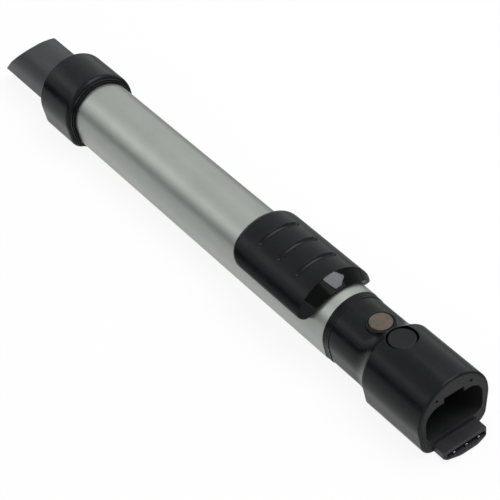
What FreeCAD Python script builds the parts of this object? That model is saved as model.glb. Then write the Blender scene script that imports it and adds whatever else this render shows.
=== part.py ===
import FreeCAD, Part
import math
import os

import Sketcher
from FreeCAD import Placement, Rotation, Vector

# Telescopic vacuum wand, in millimetres.
#
# The wand lies along X on its flat underside. Every sub-part is drawn with x = 0 at the mouth
# of the handle socket and the tube running to negative x, and its placement then moves it so
# that the origin of the part is below the middle of the collapsed wand.
#
# Every tube of the wand has the same D-shaped section: an arch about one common axis line,
# two sides that lean in a little, two rounded corners and a flat floor.

# The driving dimensions: name, value, what it is

DIMENSIONS = [
    # the common section and the clearances
    ("axis_height", 29.0, "arch axis above the surface that the wand lies on"),
    ("side_lean", 8.0, "degrees that the sides lean in below the axis"),
    ("sliding_gap", 0.35, "clearance between pieces that slide on each other"),
    ("fit_gap", 0.1, "clearance between pieces that are fitted together"),
    ("press_gap", 0.05, "clearance of pins, rivets and springs in their seats"),
    ("slot_gap", 0.4, "clearance beside what moves in a slot"),
    ("end_room", 0.8, "free length left at the ends of a travel"),
    ("overrun", 5.0, "how far a cut runs past the wall that it opens"),
    # outer tube
    ("tube_half", 27.4, "arch radius of the outer tube"),
    ("tube_depth", 23.9, "axis to the underside of the outer tube"),
    ("tube_corner", 9.5, "corner radius of the outer tube"),
    ("tube_wall", 1.3, "wall of the outer tube"),
    ("tube_near", -113.5, "end of the outer tube at the handle socket"),
    ("tube_far", -494.0, "end of the outer tube inside the collar"),
    # inner tube
    ("inner_gap", 3.8, "outer tube's bore to the inner tube at the arch"),
    ("inner_floor_gap", 3.6, "outer tube's bore to the inner tube at the floor"),
    ("inner_corner", 5.5, "corner radius of the inner tube"),
    ("inner_wall", 1.2, "wall of the inner tube"),
    ("inner_near", -150.0, "end of the collapsed inner tube inside the outer tube"),
    ("inner_tip", -587.0, "lower lip of the slanting floor-tool end"),
    ("inner_brow", -546.0, "upper edge of the slanting floor-tool end"),
    ("brow_round", 3.4, "rounded upper edge of the slanting floor-tool end"),
    ("rear_step", 2.0, "inner tube behind its rear glide"),
    ("glide_length", 6.0, "rear glide along the wand"),
    ("rear_seal_length", 3.8, "rear seal along the wand"),
    ("rear_seal_gap", 0.3, "clearance of the rear seal in the bore"),
    # lock
    ("notch_pitch", 21.0, "spacing of the lock notches along the inner tube"),
    ("notch_count", 13, "number of lock notches"),
    ("notch_gap", 0.5, "room around the lock bolt in a notch"),
    ("dish_depth", 2.0, "depth of a pressed notch below the inner tube's wall"),
    ("dish_wall", 1.0, "wall of a pressed notch"),
    ("lock_station", -474.0, "middle of the lock bolt along the wand"),
    ("bolt_length", 7.0, "lock bolt along the wand"),
    ("bolt_half", 3.6, "half width of the lock bolt's stem"),
    ("ear_half", 6.2, "half width of the lock bolt over its ears"),
    ("bolt_dip", 1.1, "how far the lock bolt stands in a notch"),
    ("bolt_bevel", 0.6, "bevel on the tip of the lock bolt"),
    ("bolt_room", 1.0, "room above the lifted lock bolt"),
    ("lock_coil", 1.6, "mean radius of the lock spring"),
    ("lock_well", 4.4, "depth of the lock spring's hole in the bolt"),
    ("latch_wall", 3.0, "wall of the latch housing"),
    # release strip
    ("strip_gap", 0.9, "release strip above the inner tube"),
    ("strip_thick", 1.0, "thickness of the release strip"),
    ("strip_half", 6.2, "half width of the release strip"),
    ("strip_rivet", 1.0, "radius of the strip's rivets"),
    ("grip_travel", 8.0, "travel of the slider grip"),
    ("wedge_slope", 0.3, "rise of the wedge for each millimetre along the wand"),
    ("post_half", 3.0, "half width of the posts between the strip and the grip"),
    ("post_first", -197.0, "post nearest the floor tool"),
    ("post_pitch", 16.0, "spacing of the posts"),
    ("shoe_thick", 0.9, "thickness of the slider shoe"),
    ("shoe_end", 4.0, "slider shoe past its posts"),
    # end collar
    ("collar_rise", 5.6, "end collar's arch above the outer tube"),
    ("collar_corner", 13.0, "corner radius of the end collar"),
    ("lip_corner", 11.6, "corner radius of the collar's lip"),
    ("collar_far", -499.5, "outer face of the end collar"),
    ("collar_taper", -458.6, "start of the collar's rounded shoulder"),
    ("collar_near", -451.0, "lip of the end collar on the outer tube"),
    ("collar_lip", 2.2, "height of the collar's lip above the outer tube"),
    ("lip_width", 1.2, "width of the collar's lip"),
    ("lip_groove", 0.5, "width of the fine groove behind the lip"),
    ("collar_band", 2.2, "width of the narrow band behind the fine groove"),
    ("collar_wall", 1.8, "wall of the end collar"),
    ("collar_face", 2.6, "thickness of the collar's outer face"),
    ("collar_round", 2.0, "rounded edge of the collar's outer face"),
    ("bush_length", 43.0, "guide bush along the wand"),
    ("wiper_gap", 0.25, "clearance of the wiper seal on the inner tube"),
    ("lock_angle", 60.0, "angle that the lock's room takes of the collar's arch"),
    ("latch_angle", 120.0, "angle of the cuts under and over the latch housing"),
    # screws
    ("screw_radius", 1.3, "radius of the small screws"),
    ("screw_head", 1.3, "thickness of a screw's head"),
    ("screw_slot", 0.6, "width of a screw's slot"),
    ("screw_sink", 0.3, "screw heads above the surface that the wand lies on"),
    ("screw_room", 1.4, "room between a screw's tip and the inner tube"),
    ("screw_side", 9.0, "screws beside the middle plane"),
    ("collar_screw", -478.0, "screws of the collar along the wand"),
    ("neck_screw", -127.5, "screws of the neck along the wand"),
    ("neck_screw_reach", 5.2, "neck screws into the spigot"),
    # handle socket
    ("socket_half", 32.0, "arch radius of the socket"),
    ("socket_corner", 12.0, "corner radius of the socket"),
    ("socket_wall", 2.4, "wall of the socket"),
    ("socket_length", 62.0, "straight body of the socket"),
    ("flare_length", 16.0, "flare between the neck and the socket"),
    ("neck_step", 0.9, "neck below the outer tube's surface"),
    ("neck_ring", 0.5, "height of the ring beside the outer tube"),
    ("neck_ring_length", 6.6, "width of the ring beside the outer tube"),
    ("neck_line", 0.5, "width of the fine grooves in the ring"),
    ("neck_line_pitch", 2.2, "spacing of the fine grooves in the ring"),
    ("spigot_length", 28.0, "spigot of the socket inside the outer tube"),
    ("seal_groove", 6.0, "neck seal's groove from the end of the outer tube"),
    ("seal_width", 2.0, "width of the neck seal's groove"),
    ("seal_depth", 1.6, "depth of the neck seal's groove"),
    ("mouth_round", 1.6, "rounded edge of the socket's mouth"),
    # opening of the socket and the airway
    ("opening_rim", 4.0, "socket's bore to the side of the opening"),
    ("opening_drop", 15.6, "socket's bore to the crown of the opening"),
    ("opening_base", 12.9, "floor of the opening above the surface"),
    ("opening_low_bend", 7.0, "lower corner radius of the opening"),
    ("opening_high_bend", 13.0, "upper corner radius of the opening"),
    ("opening_depth", 38.0, "depth of the opening"),
    ("liner_wall", 1.8, "wall of the socket's liner"),
    ("liner_flange", 2.6, "thickness of the liner's end face"),
    ("key_half", 9.0, "half width of the keyway in the crown of the opening"),
    ("key_rise", 4.4, "roof of the keyway above the opening's crown"),
    ("airway_side", 7.5, "outer tube's bore to the side of the airway"),
    ("airway_roof", 14.1, "outer tube's bore to the roof of the airway"),
    ("airway_floor", 8.1, "outer tube's bore to the floor of the airway"),
    ("airway_low_bend", 6.0, "lower corner radius of the airway"),
    ("airway_high_bend", 11.0, "upper corner radius of the airway"),
    ("duct_half", 8.0, "half width of the duct for the lead"),
    ("duct_height", 4.6, "height of the duct for the lead"),
    ("duct_floor", 2.0, "floor of the duct above the outer tube's bore"),
    ("rim_screw_side", 14.1, "rim screws from the side of the socket's bore"),
    ("rim_screw_drop", 9.8, "rim screws below the crown of the socket's bore"),
    ("rim_screw_radius", 1.2, "radius of the rim screws"),
    ("rim_screw_length", 8.0, "length of the rim screws"),
    ("rim_screw_sink", 0.7, "rim screws behind the end face"),
    # buttons
    ("release_station", -54.6, "middle of the release button"),
    ("release_radius", 10.7, "radius of the release button"),
    ("release_sink", 2.5, "release button's top below the socket's crown"),
    ("release_round", 1.3, "rounded upper edge of the release button"),
    ("release_skirt", 1.4, "wall of the release button"),
    ("release_travel", 2.0, "travel of the release button"),
    ("release_lift", 1.1, "release button's skirt above the pin of the catch"),
    ("release_gap", 1.2, "gap around the release button"),
    ("release_room", 0.2, "room under the stem of the pressed release button"),
    ("release_stem", 4.6, "half width of the release button's stem"),
    ("stem_length", 3.0, "half length of the release button's stem along the wand"),
    ("stem_drop", 2.4, "release button's stem below the middle of the catch"),
    ("nose_slot", 1.3, "half height of the slot for the catch in the stem"),
    ("release_coil", 2.6, "mean radius of the release spring"),
    ("release_seat", 2.2, "depth of the release spring's seat"),
    ("switch_station", -78.5, "middle of the brush switch"),
    ("switch_radius", 9.0, "radius of the brush switch's metal cap"),
    ("switch_rise", 2.2, "brush switch's top above the neck"),
    ("switch_rim", 0.5, "bevel on the edge of the brush switch"),
    ("switch_depth", 3.4, "height of the brush switch's cap"),
    ("switch_travel", 1.6, "travel of the brush switch"),
    ("switch_half", 6.0, "half length of the switch body"),
    ("switch_side", 5.0, "half width of the switch body"),
    ("switch_body_height", 7.0, "height of the switch body"),
    ("switch_lift", 2.9, "underside of the switch's cap above the switch body"),
    ("switch_pocket", 4.6, "depth of the switch body's pocket below the cap's well"),
    ("switch_wall", 1.2, "wall of the brush switch's cap"),
    ("plunger_reach", 2.2, "cap's plunger below the underside of the cap"),
    ("switch_coil", 3.4, "mean radius of the switch spring"),
    ("switch_plunger", 1.8, "radius of the cap's plunger"),
    ("ring_width", 1.6, "raised ring around the brush switch"),
    ("ring_drop", 0.5, "brush switch's top above the raised ring"),
    # handle catch
    ("catch_pivot", -36.0, "pivot of the handle catch along the wand"),
    ("catch_rise", 4.2, "pivot of the handle catch above the keyway"),
    ("catch_half", 3.2, "half width of the handle catch"),
    ("catch_boss", 2.1, "radius of the handle catch's boss"),
    ("catch_tooth", 11.0, "handle catch's tooth from its pivot"),
    ("tooth_length", 6.0, "length of the handle catch's tooth"),
    ("catch_pin_radius", 1.3, "radius of the handle catch's pin"),
    ("nose_reach", 2.6, "catch's nose past the middle of the release button"),
    ("nose_half", 0.6, "half thickness of the catch at its nose"),
    ("shoulder_reach", 5.0, "catch's thin part before the middle of the release button"),
    ("shoulder_half", 0.8, "half thickness of the catch's thin part at its end"),
    ("arm_reach", 4.0, "catch's thick part past its pivot"),
    ("arm_low", 1.3, "underside of the catch's thick part below its pivot"),
    ("arm_high", 1.4, "top of the catch's thick part above its pivot"),
    ("tooth_drop", 1.5, "catch's tooth below the roof of the keyway"),
    ("tooth_hook", 0.2, "tip of the tooth below its front edge"),
    ("tooth_tip", 1.0, "length of the tip of the tooth"),
    ("tooth_heel", 0.4, "heel of the tooth above the roof of the keyway"),
    ("lug_thick", 2.4, "lugs of the handle catch's pin"),
    # plug
    ("plug_inset", 12.4, "side of the plug tongue inside the side of the socket"),
    ("plug_low", 0.8, "underside of the plug tongue above the surface"),
    ("plug_thick", 7.4, "thickness of the plug tongue"),
    ("plug_reach", 15.5, "lower lip of the plug tongue outside the mouth"),
    ("plug_shelf", 3.5, "lower lip past the upper plate of the plug tongue"),
    ("plug_bow", 3.2, "corners of the lower lip behind its middle"),
    ("plug_lip", 2.2, "thickness of the lower lip"),
    ("plug_roof", 1.8, "thickness of the upper plate over the slot"),
    ("plug_slot", 4.0, "depth of the slot below the upper plate"),
    ("plug_corner", 4.0, "corner radius of the plug tongue seen from above"),
    ("plug_side", 2.4, "wall beside the slot of the plug tongue"),
    ("plug_shank", 28.0, "plug tongue inside the socket"),
    ("shank_step", 0.3, "top of the shank below the top of the plug tongue"),
    ("plug_round", 1.6, "rounded lower edge of the plug tongue"),
    ("contact_pitch", 11.0, "spacing of the contact pins"),
    ("contact_radius", 1.1, "radius of a contact pin"),
    # slider grip
    ("grip_rise", 8.2, "slider grip's arch above the outer tube"),
    ("grip_far", -222.4, "end of the grip towards the floor tool"),
    ("grip_near", -122.5, "end of the grip towards the handle"),
    ("grip_low", 8.3, "lower edge of the grip above the axis"),
    ("grip_front", 12.5, "length of the grip's sloping front"),
    ("front_foot", 1.6, "height of the sloping front's lower edge"),
    ("grip_roof", 2.4, "wall of the grip"),
    ("grip_round", 4.5, "rounded outer edges of the grip"),
    ("grip_far_corner", 15.0, "lower corners of the grip towards the floor tool"),
    ("grip_near_corner", 9.0, "lower corners of the grip towards the handle"),
    ("grip_sweep", 6.5, "lower edge of the grip behind its crown at the handle"),
    ("grip_waist", 4.4, "waist of the grip behind its crown at the handle"),
    ("groove_pitch", 22.5, "spacing of the finger grooves"),
    ("groove_first", -198.5, "finger groove nearest the floor tool"),
    ("groove_radius", 3.0, "radius of a finger groove"),
    ("groove_rise", 1.3, "middle of a finger groove above the grip's crown"),
    ("groove_angle", 54.0, "angle that a finger groove takes of the arch"),
    ("groove_count", 3, "number of finger grooves"),
    ("grip_angle", 176.0, "angle that the grip takes of the arch before it is trimmed"),
    ("hollow_angle", 124.0, "angle that the hollow in the grip takes of the arch"),
    ("front_angle", 92.0, "angle that the black front takes of the arch"),
    ("front_play", 0.6, "play beside the black front, as an angle"),
    ("front_thick", 1.2, "thickness of the grip's black front"),
    ("arrow_thick", 0.65, "thickness of the arrow on the front"),
    ("arrow_angle", 60.0, "angle of the arch that the arrow is cut from"),
    ("rib_station", -172.0, "rib that the return springs push on"),
    ("rib_thick", 2.4, "thickness of the rib"),
    ("rib_angle", 60.0, "angle that the rib takes of the arch"),
    ("coil_radius", 2.0, "mean radius of a return spring"),
    ("coil_wire", 0.55, "wire of the springs"),
    ("coil_side", 9.0, "return springs beside the middle plane"),
    ("coil_drop", 1.05, "return springs below the middle of the grip's hollow"),
    ("anchor_station", -154.0, "middle of the spring anchor"),
    ("anchor_length", 4.0, "spring anchor along the wand"),
    ("anchor_wall", 1.4, "wall of the spring anchor"),
    ("anchor_angle", 50.0, "angle that the spring anchor takes of the arch"),
    ("rivet_side", 4.0, "anchor rivets beside the middle plane"),
    ("rivet_radius", 1.2, "radius of the anchor rivets"),
    # connector in the floor-tool end
    ("floor_set", 9.5, "connector behind the lower lip of the inner tube"),
    ("floor_half", 13.0, "half width of the connector"),
    ("floor_height", 6.6, "height of the connector"),
    ("floor_length", 24.0, "length of the connector"),
    ("floor_low_bend", 1.0, "lower corner radius of the connector"),
    ("floor_high_bend", 2.0, "upper corner radius of the connector"),
    ("floor_pitch", 7.5, "spacing of the connector's contacts"),
    ("floor_contact", 1.7, "radius of the connector's holes"),
]

# Counts and shares, which aren't lengths

LOCK_TURNS = 4
RELEASE_TURNS = 3
SWITCH_TURNS = 3
GRIP_TURNS = 6
PIECES_PER_TURN = 10
WIRE_SIDES = 5
FLARE_STEPS = 6
FLARE_POWER = 2.4

# The collar's shoulder: where its sections stand, as shares of its length, and how far each
# part of the collar has come down towards the lip, as shares of the whole step
SHOULDER_STEPS = (0, 0.4, 0.7, 0.88, 0.97, 1)
BAND_SHARE = 0.72
BAND_END_SHARE = 0.8
GROOVE_SHARE = 1.14
LIP_SHARE = 1.0

# The grip's black front: where it starts and ends, as shares of the slope, the length that the
# gap at its start is a share of, and how far it and the arrow's base stand out of the slope, as
# shares of its thickness
FRONT_START = 0.02
FRONT_END = 1.3
FRONT_RUN = 12.0
FRONT_PROUD = 0.2
ARROW_PROUD = 0.22

# Heads of rivets against their shanks, the anchor's foot against its wall, the bore of a contact
# against its radius, a rim screw's slot against its radius, and the bow of the plug's lower lip
RIVET_HEAD = 1.8
RIVET_HEAD_HEIGHT = 0.3
ANCHOR_RIVET_RISE = 1.4
ANCHOR_FOOT = 0.7
CONTACT_BORE = 0.65
RIM_SLOT = 0.4
BOW_START = 0.4
BOW_BEND = 5

# Degrees by which a turned cut runs past what it opens
TURN_OVERRUN = 2.0

# How near an edge lies to a plane or an arch that it is picked by
PLANE_TOLERANCE = 0.05
ARCH_TOLERANCE = 0.01

document = FreeCAD.newDocument("VacuumWand")
sheet = document.addObject("Spreadsheet::Sheet", "Sizes")
parts = []

# Sizes that remember their formula, so that one expression gives both the first drawing of a
# sketch and the formula that drives it


def formula_of(value):
    return value.formula if isinstance(value, Size) else repr(float(value))


class Size(float):
    """A length with the sheet formula that it comes from."""

    def __new__(cls, value, formula):
        made = super().__new__(cls, value)
        made.formula = formula
        return made

    def joined(self, sign, other, value):
        return Size(value, f"({self.formula} {sign} {formula_of(other)})")

    def __add__(self, other):
        return self.joined("+", other, float(self) + float(other))

    def __sub__(self, other):
        return self.joined("-", other, float(self) - float(other))

    def __mul__(self, other):
        return self.joined("*", other, float(self) * float(other))

    def __truediv__(self, other):
        return self.joined("/", other, float(self) / float(other))

    def __neg__(self):
        return Size(-float(self), f"(-1 * {self.formula})")

    def __radd__(self, other):
        return self + other

    def __rmul__(self, other):
        return self * other

    def __rsub__(self, other):
        return -self + other


class Sizes:
    """The driving dimensions by name."""


def fill_sheet():
    sizes = Sizes()
    for row, (name, value, meaning) in enumerate(DIMENSIONS, start=1):
        sheet.set(f"A{row}", meaning)
        sheet.set(f"B{row}", str(value))
        sheet.setAlias(f"B{row}", name)
        setattr(sizes, name, Size(value, f"Sizes.{name}"))
    document.recompute()
    return sizes


s = fill_sheet()

# Sizes that several pieces share

ORIGIN_SHIFT = (s.plug_reach + s.inner_tip) / -2
BORE_HALF = s.tube_half - s.tube_wall
BORE_DEPTH = s.tube_depth - s.tube_wall
BORE_CORNER = s.tube_corner - s.tube_wall
TUBE_TOP = s.axis_height + s.tube_half
TUBE_FLOOR = s.axis_height - s.tube_depth
INNER_HALF = BORE_HALF - s.inner_gap
INNER_DEPTH = BORE_DEPTH - s.inner_floor_gap
INNER_TOP = s.axis_height + INNER_HALF
INNER_FLOOR = s.axis_height - INNER_DEPTH
STRIP_LOW = INNER_TOP + s.strip_gap
STRIP_HIGH = STRIP_LOW + s.strip_thick
POST_STATIONS = [s.post_first, s.post_first + s.post_pitch]
SHOE_FAR = POST_STATIONS[0] - s.post_half - s.shoe_end
SHOE_NEAR = POST_STATIONS[1] + s.post_half + s.shoe_end
SHOE_TOP = STRIP_HIGH + s.shoe_thick
STRIP_RIVETS = [SHOE_FAR + s.shoe_end / 2, SHOE_NEAR - s.shoe_end / 2]
COLLAR_HALF = s.tube_half + s.collar_rise
COLLAR_ROOF = COLLAR_HALF - s.collar_wall
BOLT_NEAR = s.lock_station + s.bolt_length / 2
BOLT_FAR = s.lock_station - s.bolt_length / 2
BOLT_TOP = s.axis_height + COLLAR_ROOF - s.grip_travel * s.wedge_slope - s.bolt_room
WEDGE_REACH = s.bolt_length + s.grip_travel
WEDGE_FAR = BOLT_NEAR - WEDGE_REACH
LATCH_FAR = WEDGE_FAR - s.latch_wall
LATCH_NEAR = BOLT_NEAR + s.grip_travel + s.latch_wall
NECK_HALF = s.tube_half - s.neck_step
NECK_DEPTH = s.tube_depth - s.neck_step
NECK_CORNER = s.tube_corner - s.neck_step
NECK_NEAR = -s.socket_length - s.flare_length
SOCKET_BORE = s.socket_half - s.socket_wall
OPENING_HALF = SOCKET_BORE - s.opening_rim
OPENING_TOP = s.axis_height + SOCKET_BORE - s.opening_drop
KEY_ROOF = OPENING_TOP + s.key_rise
CATCH_Z = KEY_ROOF + s.catch_rise
RELEASE_TOP = s.axis_height + s.socket_half - s.release_sink
STEM_LOW = CATCH_Z - s.stem_drop
RELEASE_FLOOR = STEM_LOW - s.release_travel - s.release_room
AIRWAY_HALF = BORE_HALF - s.airway_side
AIRWAY_TOP = s.axis_height + BORE_HALF - s.airway_roof
AIRWAY_LOW = s.axis_height - BORE_DEPTH + s.airway_floor
DUCT_LOW = s.axis_height - BORE_DEPTH + s.duct_floor
SWITCH_TOP = s.axis_height + NECK_HALF + s.switch_rise
SWITCH_UNDER = SWITCH_TOP - s.switch_depth
SWITCH_FLOOR = SWITCH_UNDER - s.switch_body_height - s.switch_lift
SWITCH_SEAT = SWITCH_FLOOR + s.switch_pocket
RIM_SCREW_SIDE = SOCKET_BORE - s.rim_screw_side
RIM_SCREW_HEIGHT = s.axis_height + SOCKET_BORE - s.rim_screw_drop
PLUG_HALF = s.socket_half - s.plug_inset
PLUG_TOP = s.plug_low + s.plug_thick
PLUG_FRONT = s.plug_reach - s.plug_shelf
SHANK_HALF = PLUG_HALF - s.plug_side
SHANK_LOW = s.socket_wall + s.fit_gap
SHANK_HIGH = PLUG_TOP - s.shank_step
CONTACT_HEIGHT = s.plug_low + s.plug_thick / 2
GRIP_HALF = s.tube_half + s.grip_rise
GRIP_BORE = GRIP_HALF - s.grip_roof
GRIP_TOP = s.axis_height + GRIP_HALF
GRIP_FLOOR = TUBE_TOP + s.sliding_gap
GRIP_HEM = s.axis_height + s.grip_low
FRONT_FAR = s.grip_near - s.grip_front
FRONT_FOOT = GRIP_FLOOR + s.front_foot
ANCHOR_NEAR = s.anchor_station + s.anchor_length / 2
ANCHOR_FAR = s.anchor_station - s.anchor_length / 2
RIVET_STATION = (ANCHOR_FAR + s.anchor_wall + ANCHOR_NEAR) / 2
COIL_HEIGHT = s.axis_height + (s.tube_half + GRIP_BORE) / 2 - s.coil_drop
FLOOR_FAR = s.inner_tip + s.floor_set
FLOOR_LOW = INNER_FLOOR + s.inner_wall + s.press_gap
FRONT_GAP = s.fit_gap / 5
GLIDE_NEAR = s.inner_near - s.rear_step
SEAL_NEAR = GLIDE_NEAR - s.glide_length - s.fit_gap * 2
NECK_HEAD_LOW = TUBE_FLOOR - s.screw_head
COLLAR_SCREWS = [(s.collar_screw, s.screw_side), (s.collar_screw, -s.screw_side)]
NECK_SCREWS = [(s.neck_screw, s.screw_side), (s.neck_screw, -s.screw_side)]

UP = Vector(0, 0, 1)
ALONG = Vector(1, 0, 0)
ACROSS = Vector(0, 1, 0)

# Helpers for documents, sketches and features


def bind(thing, prop, value):
    """Drive a property by a size's formula."""
    setattr(thing, prop, float(value))
    if isinstance(value, Size):
        thing.setExpression(prop, value.formula)


def place(thing):
    """Move a sub-part from the socket's mouth to the part's own origin."""
    thing.setExpression("Placement.Base.x", ORIGIN_SHIFT.formula)


def new_body(label):
    body = document.addObject("PartDesign::Body", label)
    body.Label = label
    place(body)
    parts.append(body)
    return body


def new_sketch(body, plane, offset):
    """A sketch on one of the body's origin planes, moved along the plane's normal."""
    sketch = body.newObject("Sketcher::SketchObject", f"{body.Label}_sketch")
    support = next(one for one in body.Origin.OriginFeatures if one.Role == plane)
    sketch.AttachmentSupport = [(support, "")]
    sketch.MapMode = "FlatFace"
    sketch.AttachmentOffset = Placement(Vector(0, 0, float(offset)), Rotation())
    if isinstance(offset, Size):
        sketch.setExpression("AttachmentOffset.Base.z", offset.formula)
    return sketch


def cross_section(body, station):
    """A sketch across the wand: its x is the part's Y, its y the part's Z."""
    return new_sketch(body, "YZ_Plane", station)


def side_view(body, aside=0.0):
    """A sketch along the wand: its x is the part's X, its y the part's Z."""
    return new_sketch(body, "XZ_Plane", -aside)


def top_view(body, height=0.0):
    """A sketch seen from above, at a height above the surface that the wand lies on."""
    return new_sketch(body, "XY_Plane", height)


def constrain(sketch, kind, *where):
    """Add a constraint; a size at its end also drives it."""
    value = where[-1]
    if isinstance(value, Size):
        index = sketch.addConstraint(Sketcher.Constraint(kind, *where[:-1], float(value)))
        sketch.setExpression(f"Constraints[{index}]", value.formula)
    else:
        sketch.addConstraint(Sketcher.Constraint(kind, *where))


def fix_point(sketch, geometry, point, x, y):
    """Hold a point at its place from the sketch's origin."""
    constrain(sketch, "DistanceX", -1, 1, geometry, point, x)
    constrain(sketch, "DistanceY", -1, 1, geometry, point, y)


def add_line(sketch, a, b):
    return sketch.addGeometry(Part.LineSegment(Vector(*a, 0), Vector(*b, 0)))


def add_arc(sketch, x, y, radius, start, end):
    circle = Part.Circle(Vector(x, y, 0), Vector(0, 0, 1), radius)
    return sketch.addGeometry(Part.ArcOfCircle(circle, start, end))


def draw_polygon(sketch, corners):
    """A closed outline of straight lines, each corner held by its own two sizes."""
    points = [(float(x), float(y)) for x, y in corners]
    lines = [add_line(sketch, a, b) for a, b in zip(points, points[1:] + points[:1])]
    for line, after in zip(lines, lines[1:] + lines[:1]):
        constrain(sketch, "Coincident", line, 2, after, 1)
    for line, (x, y) in zip(lines, corners):
        fix_point(sketch, line, 1, x, y)
    return lines


def draw_rectangle(sketch, left, right, low, high):
    draw_polygon(sketch, [(left, low), (right, low), (right, high), (left, high)])


def draw_circle(sketch, x, y, radius):
    middle = Vector(float(x), float(y), 0)
    circle = sketch.addGeometry(Part.Circle(middle, Vector(0, 0, 1), float(radius)))
    constrain(sketch, "Radius", circle, radius)
    fix_point(sketch, circle, 3, x, y)


def corner_arc(points, number, radius):
    """Where a rounded corner of an outline starts and ends, and its middle."""
    here = points[number]
    before = (points[number - 1] - here).normalize()
    after = (points[(number + 1) % len(points)] - here).normalize()
    half = before.getAngle(after) / 2
    reach = radius / math.tan(half)
    middle = here + (before + after).normalize() * (radius / math.sin(half))
    return here + before * reach, here + after * reach, middle


def draw_rounded(sketch, corners):
    """A closed outline of straight lines between corners given as x, y and radius."""
    points = [Vector(float(x), float(y), 0) for x, y, radius in corners]
    starts, ends, arcs, sides = [], [], [], []
    for number, (x, y, radius) in enumerate(corners):
        if radius == 0:
            starts.append(points[number])
            ends.append(points[number])
            arcs.append(None)
            sides.append(None)
            continue
        first, last, middle = corner_arc(points, number, float(radius))
        outward = (first - middle).cross(last - middle).z > 0
        a, b = (first - middle, last - middle) if outward else (last - middle, first - middle)
        angles = [math.atan2(one.y, one.x) for one in (a, b)]
        arcs.append(add_arc(sketch, middle.x, middle.y, float(radius), *angles))
        sides.append((1, 2) if outward else (2, 1))
        starts.append(first)
        ends.append(last)
    count = len(corners)
    lines = [
        add_line(sketch, (ends[k].x, ends[k].y),
                 (starts[(k + 1) % count].x, starts[(k + 1) % count].y))
        for k in range(count)
    ]
    for number, (x, y, radius) in enumerate(corners):
        line_in, line_out = lines[number - 1], lines[number]
        if radius == 0:
            constrain(sketch, "Coincident", line_in, 2, line_out, 1)
            fix_point(sketch, line_out, 1, x, y)
            continue
        start, end = sides[number]
        constrain(sketch, "Tangent", line_in, 2, arcs[number], start)
        constrain(sketch, "Tangent", arcs[number], end, line_out, 1)
        constrain(sketch, "Radius", arcs[number], radius)
        mark = sketch.addGeometry(Part.Point(points[number]), True)
        fix_point(sketch, mark, 1, x, y)
        constrain(sketch, "PointOnObject", mark, 1, line_in)
        constrain(sketch, "PointOnObject", mark, 1, line_out)


def draw_slab(sketch, half, low, high, low_bend, high_bend):
    """A rectangle about the middle plane with rounded corners."""
    w, a, b, r, q = float(half), float(low), float(high), float(low_bend), float(high_bend)
    quarter = math.pi / 2
    arcs = [
        add_arc(sketch, w - r, a + r, r, -quarter, 0),
        add_arc(sketch, w - q, b - q, q, 0, quarter),
        add_arc(sketch, q - w, b - q, q, quarter, 2 * quarter),
        add_arc(sketch, r - w, a + r, r, 2 * quarter, 3 * quarter),
    ]
    lines = [
        add_line(sketch, (w, a + r), (w, b - q)),
        add_line(sketch, (w - q, b), (q - w, b)),
        add_line(sketch, (-w, b - q), (-w, a + r)),
        add_line(sketch, (r - w, a), (w - r, a)),
    ]
    for k in range(4):
        constrain(sketch, "Tangent", arcs[k], 2, lines[k], 1)
        constrain(sketch, "Tangent", lines[k], 2, arcs[(k + 1) % 4], 1)
    for line, kind in zip(lines, ("Vertical", "Horizontal") * 2):
        constrain(sketch, kind, line)
    constrain(sketch, "Equal", arcs[0], arcs[3])
    constrain(sketch, "Equal", arcs[1], arcs[2])
    constrain(sketch, "Radius", arcs[0], low_bend)
    constrain(sketch, "Radius", arcs[1], high_bend)
    constrain(sketch, "DistanceX", -1, 1, lines[0], 1, half)
    constrain(sketch, "DistanceX", lines[2], 1, -1, 1, half)
    constrain(sketch, "DistanceY", -1, 1, lines[3], 1, low)
    constrain(sketch, "DistanceY", -1, 1, lines[1], 1, high)


def draw_section(sketch, half, depth, corner):
    """The wand's section: an arch, two leaning sides, two rounded corners and a flat floor."""
    lean = math.radians(s.side_lean)
    centre = float(s.axis_height)
    radius = float(half)
    bend = float(corner)
    low = centre - float(depth)
    bend_y = low + bend
    bend_x = (radius - bend + (bend_y - centre) * math.sin(lean)) / math.cos(lean)
    out_x, out_y = math.cos(lean), -math.sin(lean)
    top = (out_x * radius, centre + out_y * radius)
    foot = (bend_x + out_x * bend, bend_y + out_y * bend)
    arch = add_arc(sketch, 0, centre, radius, -lean, math.pi + lean)
    right_bend = add_arc(sketch, bend_x, bend_y, bend, -math.pi / 2, -lean)
    left_bend = add_arc(sketch, -bend_x, bend_y, bend, math.pi + lean, 1.5 * math.pi)
    right_side = add_line(sketch, foot, top)
    left_side = add_line(sketch, (-top[0], top[1]), (-foot[0], foot[1]))
    floor = add_line(sketch, (-bend_x, low), (bend_x, low))
    for one, other in (
        (floor, right_bend),
        (right_bend, right_side),
        (right_side, arch),
        (arch, left_side),
        (left_side, left_bend),
        (left_bend, floor),
    ):
        constrain(sketch, "Tangent", one, 2, other, 1)
    constrain(sketch, "Horizontal", floor)
    constrain(sketch, "Radius", arch, half)
    constrain(sketch, "Radius", right_bend, corner)
    constrain(sketch, "Equal", right_bend, left_bend)
    slant = (90 - s.side_lean) * (math.pi / 180)
    index = sketch.addConstraint(Sketcher.Constraint("Angle", right_side, float(slant)))
    sketch.setExpression(f"Constraints[{index}]", f"(90 - {s.side_lean.formula}) * 1 deg")
    fix_point(sketch, arch, 3, 0.0, s.axis_height)
    constrain(sketch, "DistanceY", -1, 1, floor, 1, s.axis_height - depth)


def draw_ring(sketch, half, depth, corner, thickness):
    """The wand's section with a wall of even thickness."""
    draw_section(sketch, half, depth, corner)
    draw_section(sketch, half - thickness, depth - thickness, corner - thickness)


def pad(body, sketch, length, middle=False, back=False):
    feature = body.newObject("PartDesign::Pad", sketch.Name + "_pad")
    feature.Profile = sketch
    bind(feature, "Length", length)
    feature.Midplane = middle
    feature.Reversed = back
    return feature


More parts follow.
